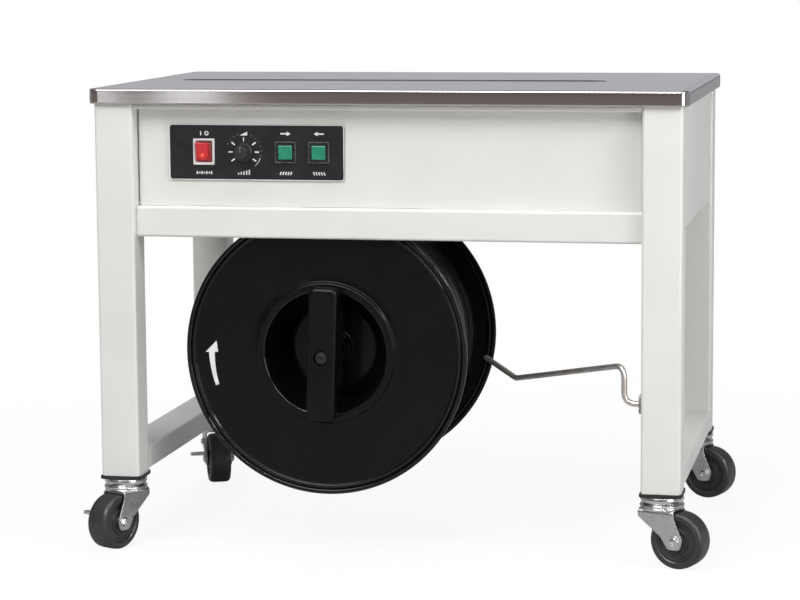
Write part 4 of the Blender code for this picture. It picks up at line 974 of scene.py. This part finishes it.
def caster_axle(bm):
    """The bolt through both cheeks, with a domed head and a nut."""
    half = 0.0222
    add_lathe(bm, pin(0.0050, -half, half), (TRAIL, 0.0, WHEEL_RADIUS), BACK, 24)
    add_lathe(bm, rounded(mm((0, 0, 0), (9.8, 0, 0.4), (9.6, 1.4, 0.4), (7.2, 1.6, 0.2), (6.8, 4, 2.2),
                             (3.4, 4.8, 0.4), (2.8, 3.4, 0), (0, 3.4, 0))), (TRAIL, -half, WHEEL_RADIUS), FRONT, 32)
    add_bolt(bm, (TRAIL, half, WHEEL_RADIUS), BACK, 0.0072, 0.0046)


def add_wheel(bm, side, steps, segments):
    """A wheel part from one side's profile, mirrored to the other."""
    add_lathe(bm, rounded(side + [(r, -h, bend) for r, h, bend in reversed(side)], steps), facing=BACK,
              segments=segments)


def caster_tyre(bm):
    """The tyre: a flat tread with round shoulders and a groove where it meets the core."""
    half, radius = WHEEL_HALF, WHEEL_RADIUS
    add_wheel(bm, [(0.0300, half - 0.0040, 0.0), (0.0308, half - 0.0010, 0.0012), (0.0330, half + 0.0004, 0.0016),
                   (0.0392, half, 0.0030), (radius - 0.0006, half - 0.0034, 0.0026),
                   (radius, half - 0.0090, 0.0060)], 5, 72)


def caster_core(bm):
    """The wheel's hub: a dished disc with raised rings round the axle."""
    side = mm((5.4, 1, 0.4), (10.5, 1, 1), (11.8, -3, 1), (15.5, -3.2, 1), (16.6, -1.4, 0.8), (18.6, -1.4, 0.8),
              (19.8, -5, 1.2), (26.2, -5.4, 1.2), (27.6, -2.4, 1), (30.4, -2.4, 0.8))
    add_wheel(bm, [(r, WHEEL_HALF + h, bend) for r, h, bend in side], 3, 64)


def caster_brake(bm):
    """A lever on the outside of one cheek with a foot tab bent outwards."""
    inner, sheet = -0.0226, 0.0022
    lever = mm((-2, 62, 3), (6, 60, 6), (30, 51, 3), (47, 49.5, 2), (48, 56, 3), (30, 64, 8), (12, 74.5, 7),
               (0, 74.5, 6))
    add_prism(bm, rounded(lever), "Y", inner - sheet, inner)
    tab = mm((33.5, -1, 0), (33.5, -12, 2), (37, -27, 3), (45.5, -27, 3), (47.5, -12, 2), (47.5, -1, 0))
    add_prism(bm, rounded([(a, inner + b, bend) for a, b, bend in tab]), "Z", 0.0505, 0.0550)
    add_bolt(bm, (0.006, inner - sheet, 0.068), FRONT, 0.0042, 0.0030, 24)


def build_casters():
    for place, (side, heading) in CASTERS.items():
        x, y, _ = middle_of(f"leg_{place.split('_')[0]}_left")[0]
        stand = Matrix.Translation((side * abs(x), y, 0.0))
        turned = stand @ Matrix.Rotation(math.radians(heading), 4, "Z")
        hub = turned @ Matrix.Translation((TRAIL, 0.0, WHEEL_RADIUS))
        fork, wheel = f"fork_{place}", f"wheel_{place}"
        for name, source, look, body, covers, bevel, limit, matrix in (
                ("cap", shape(caster_cap), CAP, "frame", "mount", 0.0, 40.0, stand),
                ("bearing", shape(caster_bearing), BRIGHT, "frame", "", 0.0, 40.0, stand),
                ("ring", shape(caster_ring), BRIGHT, fork, "", 0.0, 40.0, turned),
                ("cheeks", caster_fork(), ZINC, fork, "fork", 0.0006, 32.0, turned),
                ("axle", shape(caster_axle), BRIGHT, fork, "", 0.0, 40.0, turned),
                ("tyre", shape(caster_tyre), RUBBER, wheel, "wheel", 0.0, 50.0, hub),
                ("core", shape(caster_core), WHEEL_CORE, wheel, "", 0.0, 50.0, hub)):
            piece(f"caster_{name}_{place}", source, look, body, covers and f"caster_{covers}_{place}", bevel,
                  limit=limit, matrix=matrix)
        if f"caster_brake_{place}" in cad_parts:
            piece(f"caster_lever_{place}", shape(caster_brake), ZINC, f"brake_{place}", f"caster_brake_{place}",
                  0.0009, matrix=turned)


# ---------------------------------------------------------------- mechanism under the lid
HEAD_X, DRIVE_Z, BELT_Y = -0.045, 0.597, 0.068
REDUCER_X, MOTOR_X, ROLLER_X = 0.115, 0.270, -0.175


def head_fittings(bm):
    add_bolts(bm, (HEAD_X - 0.048, HEAD_X + 0.048), [-0.028], (0.565, 0.600, 0.650), FRONT, 0.0034, 0.0026)


def reducer_fittings(bm):
    add_bolts(bm, (REDUCER_X - 0.042, REDUCER_X + 0.042), [-0.045], (0.548, 0.631), FRONT, 0.0036, 0.0030)
    add_lathe(bm, rounded(mm((0, 0, 0), (30, 0, 0), (30, 3, 1), (14, 3, 0.6), (12, 4.6, 1), (0, 4.6, 0))),
              (REDUCER_X, -0.0448, DRIVE_Z - 0.008), FRONT, 40)
    add_bolt(bm, (REDUCER_X + 0.030, 0.020, 0.6400), UP, 0.0050, 0.0040)


def build_motor():
    x, centre = MOTOR_X, (MOTOR_X, 0.0, DRIVE_Z)
    bm = bmesh.new()
    fins, steps = 36, 4
    outline = []
    for i in range(fins * steps):
        t = 2 * math.pi * i / (fins * steps)
        radius = 0.0548 if i % steps < 2 else 0.0495
        outline.append((x + radius * math.cos(t), DRIVE_Z + radius * math.sin(t)))
    add_prism(bm, outline, "Y", -0.090, 0.028)
    for profile in (mm((0, 26, 0), (54.5, 26, 1), (54.5, 40, 4), (44, 47, 4), (25, 48.5, 1), (24, 50, 0.5),
                       (7.9, 50, 0), (7.9, 30, 0), (0, 30, 0)),
                    mm((0, -88, 0), (55, -88, 1), (55, -120, 6), (46, -130, 6), (0, -130, 0))):
        add_lathe(bm, rounded(profile), centre, BACK, 64)
    seat = cad("base_deck")[1].z + 0.0003
    add_box(bm, (x - 0.045, -0.110, seat), (x + 0.045, 0.030, seat + 0.012))
    add_box(bm, (x - 0.022, -0.105, seat + 0.002), (x + 0.022, 0.025, DRIVE_Z - 0.044))
    add_bolts(bm, (x - 0.036, x + 0.036), (-0.095, 0.015), [seat + 0.012], UP, 0.0050, 0.0040)
    piece("motor_casing", bm, CAST, covers="drive_motor", bevel=0.0004)
    bm = bmesh.new()
    # Flat black rings on the fan cover stand for its slots: painted shade, with no openings cut.
    for i in range(5):
        radius = 0.010 + 0.008 * i
        add_lathe(bm, washer(radius, radius + 0.0030, 0.0, 0.0004), (x, -0.1301, DRIVE_Z), FRONT, 48)
    piece("motor_fan_slot_shade_rings", bm, BLACK_PLASTIC)


def belt_line(offset, count=9):
    """A closed loop round both pulleys, as (x, z) points."""
    large, small = 0.035 + offset, 0.020 + offset
    spread = math.acos((large - small) / (MOTOR_X - REDUCER_X))
    loop = []
    for x, radius, start, end in ((REDUCER_X, large, spread, 2 * math.pi - spread), (MOTOR_X, small, -spread, spread)):
        for k in range(count * 4 + 1):
            t = start + (end - start) * k / (count * 4)
            loop.append((x + radius * math.cos(t), DRIVE_Z + radius * math.sin(t)))
    return loop


def build_drive():
    refined("gear_reducer", CAST, bevel=0.0015, extra=reducer_fittings)
    build_motor()
    for node in ("reducer_pulley", "motor_pulley"):
        refined(node, STEEL, node, 0.0004)
    belt = shape(add_prism, belt_line(0.0040), "Y", BELT_Y - 0.0064, BELT_Y + 0.0064, belt_line(0.0012))
    piece("timing_belt", belt, BELT, covers="drive_belt", bevel=0.0003)
    bm = bmesh.new()
    inner = [Vector(point) for point in belt_line(0.0013, 12)]
    for a, b in zip(inner, inner[1:] + inner[:1]):
        run = (b - a).length
        count = max(1, round(run / 0.0050)) if run > 0.02 else (1 if run > 0.0015 else 0)
        way = (b - a).normalized() * 0.0011
        side = Vector((-way.y, way.x)) * 0.75
        for k in range(count):
            place = a.lerp(b, (k + 0.5) / count)
            tooth = (place - way, place + way, place + way * 0.6 + side, place - way * 0.6 + side)
            add_prism(bm, tooth, "Y", BELT_Y - 0.0062, BELT_Y + 0.0062)
    piece("timing_belt_teeth", bm, BELT)


def build_head():
    refined("head_frame", CAST, bevel=0.0008, extra=head_fittings)
    for node in ("left_gripper", "right_gripper", "press_platen", "heater_blade", "anvil_slide", "cam_shaft"):
        refined(node, STEEL, node, 0.0005)
    for node in ("feed_roller", "pinch_roller"):
        refined(node, STEEL, node, 0.0005)
        (_, _, z), (radius, _, _) = middle_of(node)
        profile = [(radius - 0.001, -0.0118)]
        for k in range(12):
            start = -0.0115 + 0.0024 * k
            profile += [(radius + 0.0001, start), (radius + 0.0004, start + 0.0006),
                        (radius + 0.0004, start + 0.0014), (radius + 0.0001, start + 0.0020)]
        profile.append((radius - 0.001, 0.0178))
        piece(f"{node}_sleeve", shape(add_lathe, profile, (ROLLER_X, 0.0, z), BACK, 56), BELT, node)
    refined("strap_channel", STAINLESS, bevel=0.0003)


def build_electrics():
    (x, y, _), _ = middle_of("power_transformer")
    base = cad("power_transformer")[0].z
    stack = shape(add_box, (x - 0.038, y - 0.030, base + 0.003), (x + 0.038, y + 0.030, base + 0.062))
    piece("transformer_stack", stack, LAMINATION, covers="power_transformer", bevel=0.0010)
    winding = rectangle(0.0260, 0.0210, 0.0060, (x, base + 0.031))
    piece("transformer_winding", shape(add_prism, winding, "Y", y - 0.046, y + 0.046), COPPER, bevel=0.0030,
          segments=3)
    bm = bmesh.new()
    add_box(bm, (x - 0.044, y - 0.030, base), (x + 0.044, y + 0.030, base + 0.003))
    add_bolts(bm, (x - 0.032, x + 0.032), (y - 0.024, y + 0.024), [base + 0.062], UP, 0.0036, 0.0030)
    piece("transformer_foot", bm, ZINC, bevel=0.0004)

    low, high = cad("control_board")
    board = low.z + 0.012
    laminate = shape(add_box, (low.x, low.y, board), (high.x, high.y, board + 0.0018))
    piece("board_laminate", laminate, BOARD, covers="control_board", bevel=0.0003)
    bm = bmesh.new()
    for post_x, post_y in product((low.x + 0.008, high.x - 0.008), (low.y + 0.008, high.y - 0.008)):
        add_lathe(bm, pin(0.0038, low.z, board), (post_x, post_y, 0.0), segments=6)
        add_bolt(bm, (post_x, post_y, board + 0.0018), UP, 0.0028, 0.0020, 20)
    piece("board_posts", bm, BRIGHT, bevel=0.0002)
    bm = bmesh.new()
    for i in range(4):
        left = -0.365 + 0.028 * i
        add_box(bm, (left, 0.085, board + 0.001), (left + 0.020, 0.105, board + 0.018))
    piece("board_relays", bm, RELAY, bevel=0.0008)
    bm = bmesh.new()
    add_box(bm, (-0.360, 0.160, board + 0.001), (-0.250, 0.172, board + 0.0115))
    add_bolts(bm, [-0.3545 + 0.011 * i for i in range(10)], [0.166], [board + 0.0112], UP, 0.0022, 0.0014, 16)
    piece("board_terminals", bm, BLACK_PLASTIC, bevel=0.0002)
    bm = bmesh.new()
    for i in range(9):
        tall = 0.007 + 0.004 * random.random()
        add_lathe(bm, rounded([(0.0, 0.0, 0.0), (0.0036, 0.0, 0.0), (0.0036, tall, 0.0006), (0.0, tall, 0.0)]),
                  (-0.352 + 0.0125 * i, 0.135 + 0.006 * (i % 2), board + 0.0016), segments=20)
    piece("board_capacitors", bm, BLACK_PLASTIC, bevel=0.0002)


# ---------------------------------------------------------------- studio
SKY_FRONT, SKY_BACK = rgb(0.080, 0.072, 0.070), rgb(0.48, 0.475, 0.505)
SKY_SHOULDER, SKY_TOP = rgb(0.15, 0.15, 0.155), rgb(0.30, 0.30, 0.30)
EDGE_TURN = math.radians(-38.0)
# name, place, target, size in metres, power in watts
LIGHTS = (("key", (-0.9, -3.0, 3.2), (0.0, 0.0, 0.35), (2.6, 1.6), 104.0),
          ("fill", (2.6, -2.1, 0.75), (0.2, -0.1, 0.50), (1.4, 1.2), 24.0),
          ("top", (0.2, -0.9, 3.3), (0.0, 0.0, 0.0), (2.8, 1.5), 34.0),
          ("back", (-0.9, 3.0, 2.1), (0.0, 0.1, 0.35), (2.4, 1.4), 40.0),
          ("edge", (1.03, -2.95, 2.0), (-0.1, -0.25, 0.30), (2.1, 0.08), 45.0),
          ("rim", (2.9, -1.3, 2.2), (-0.1, -0.2, 0.35), (0.5, 0.5), 34.0),
          ("strip_wide", (-1.245, -3.5, 0.70), (-0.28, -0.3, 0.69), (0.17, 1.1), 0.70),
          ("strip_narrow", (-1.475, -3.4, 0.70), (-0.43, -0.3, 0.69), (0.04, 1.1), 0.36))


def build_sky():
    """Soft box seen in reflections: dim and warm low in front, bright above, cooler and dimmer low behind."""
    g = Graph("studio", "worlds", "Generated")
    _, depth, height = g.add("ShaderNodeSeparateXYZ", {0: g.place}).outputs
    colour = SKY_FRONT
    for value, low, high, beyond in ((depth, -0.5, 0.6, SKY_BACK), (height, 0.14, 0.24, SKY_SHOULDER),
                                     (height, 0.48, 0.78, SKY_TOP)):
        colour = g.mix(g.ramp(value, low, high, interpolation_type="SMOOTHSTEP"), colour, beyond)
    g.by_camera(g.add("ShaderNodeBackground", {"Color": colour}).outputs[0],
                g.add("ShaderNodeBackground", {"Color": rgb(1, 1, 1)}).outputs[0])
    bpy.context.scene.world = g.owner


def build_floor():
    """A pale floor that fades to white for the camera, and is a dimmer grey card for light and reflections."""
    bm = bmesh.new()
    bmesh.ops.create_circle(bm, cap_ends=True, radius=30.0, segments=96)
    mesh = bpy.data.meshes.new("floor")
    bm.to_mesh(mesh)
    bm.free()
    g = Graph("floor")
    tone = g.mix(g.ramp(g.noise(3.0), 0.3, 0.7), rgb(0.90, 0.90, 0.90), rgb(0.93, 0.93, 0.93))
    g.plug(g.shader, {"Base Color": tone, "Roughness": 0.9})
    glow = g.add("ShaderNodeEmission", {"Color": rgb(1, 1, 1), "Strength": 1.0}).outputs[0]
    distance = g.add("ShaderNodeVectorMath", {0: g.place}, operation="LENGTH").outputs["Value"]
    seen = g.add("ShaderNodeMixShader", {0: g.ramp(distance, 0.5, 1.8, 0.90, 1.0), 1: g.shader.outputs[0], 2: glow})
    _, depth, _ = g.add("ShaderNodeSeparateXYZ", {0: g.place}).outputs
    far = g.ramp(depth, -2.2, -1.0)
    dim = g.add("ShaderNodeBsdfDiffuse", {"Color": g.mix(far, rgb(0.40, 0.34, 0.31), rgb(0.48, 0.48, 0.48))})
    lift = g.add("ShaderNodeEmission", {"Color": g.mix(far, rgb(0.135, 0.112, 0.100), rgb(0.22, 0.22, 0.23)),
                                        "Strength": g.ramp(distance, 1.5, 4.5)})
    g.by_camera(g.add("ShaderNodeAddShader", {0: dim.outputs[0], 1: lift.outputs[0]}).outputs[0], seen.outputs[0])
    mesh.materials.append(g.owner)
    placed("floor", mesh)


def build_studio():
    build_sky()
    build_floor()
    for name, place, target, size, power in LIGHTS:
        light = bpy.data.lights.new(name, "AREA")
        light.shape, light.size, light.size_y, light.energy = "RECTANGLE", *size, power
        lamp = placed(name, light)
        lamp.location, lamp.rotation_mode = place, "QUATERNION"
        aim = (Vector(target) - Vector(place)).to_track_quat("-Z", "Y")
        lamp.rotation_quaternion = aim @ Quaternion(UP, EDGE_TURN if name == "edge" else 0.0)
        lamp.visible_glossy, lamp.visible_diffuse = name != "back", name != "edge"
    bpy.context.scene.view_settings.view_transform = "Standard"


def build_camera():
    azimuth, elevation, roll = [math.radians(angle) for angle in (11.2429, 7.4839, -0.3476)]
    distance, target = 4.1187, Vector((0.0, 0.0, 0.37))
    right = Vector((math.cos(azimuth), math.sin(azimuth), 0.0))
    back = Vector((math.sin(azimuth) * math.cos(elevation), -math.cos(azimuth) * math.cos(elevation),
                   math.sin(elevation)))
    up = back.cross(right)
    side = right * math.cos(roll) + up * math.sin(roll)
    rise = up * math.cos(roll) - right * math.sin(roll)
    camera = placed("camera", bpy.data.cameras.new("camera"))
    camera.matrix_world = Matrix.Translation(target + SHIFT + back * distance) @ Matrix(
        (side, rise, back)).transposed().to_4x4()
    camera.data.sensor_width, camera.data.lens = 36.0, 115.3296
    camera.data.shift_x, camera.data.shift_y = -0.0255, -0.009375
    bpy.context.scene.camera = camera


INLET = middle_of("power_inlet")[0][::2]
SLOT = (-0.385, 0.295, 0.0075, 0.012)
HINGE = (0.2885, 0.6825)

for build in (build_camera, build_stand, build_panels, build_inlet, build_table, build_hinge, build_controls,
              build_reel, build_brake_arm, build_casters, build_head, build_drive, build_electrics, build_studio):
    build()
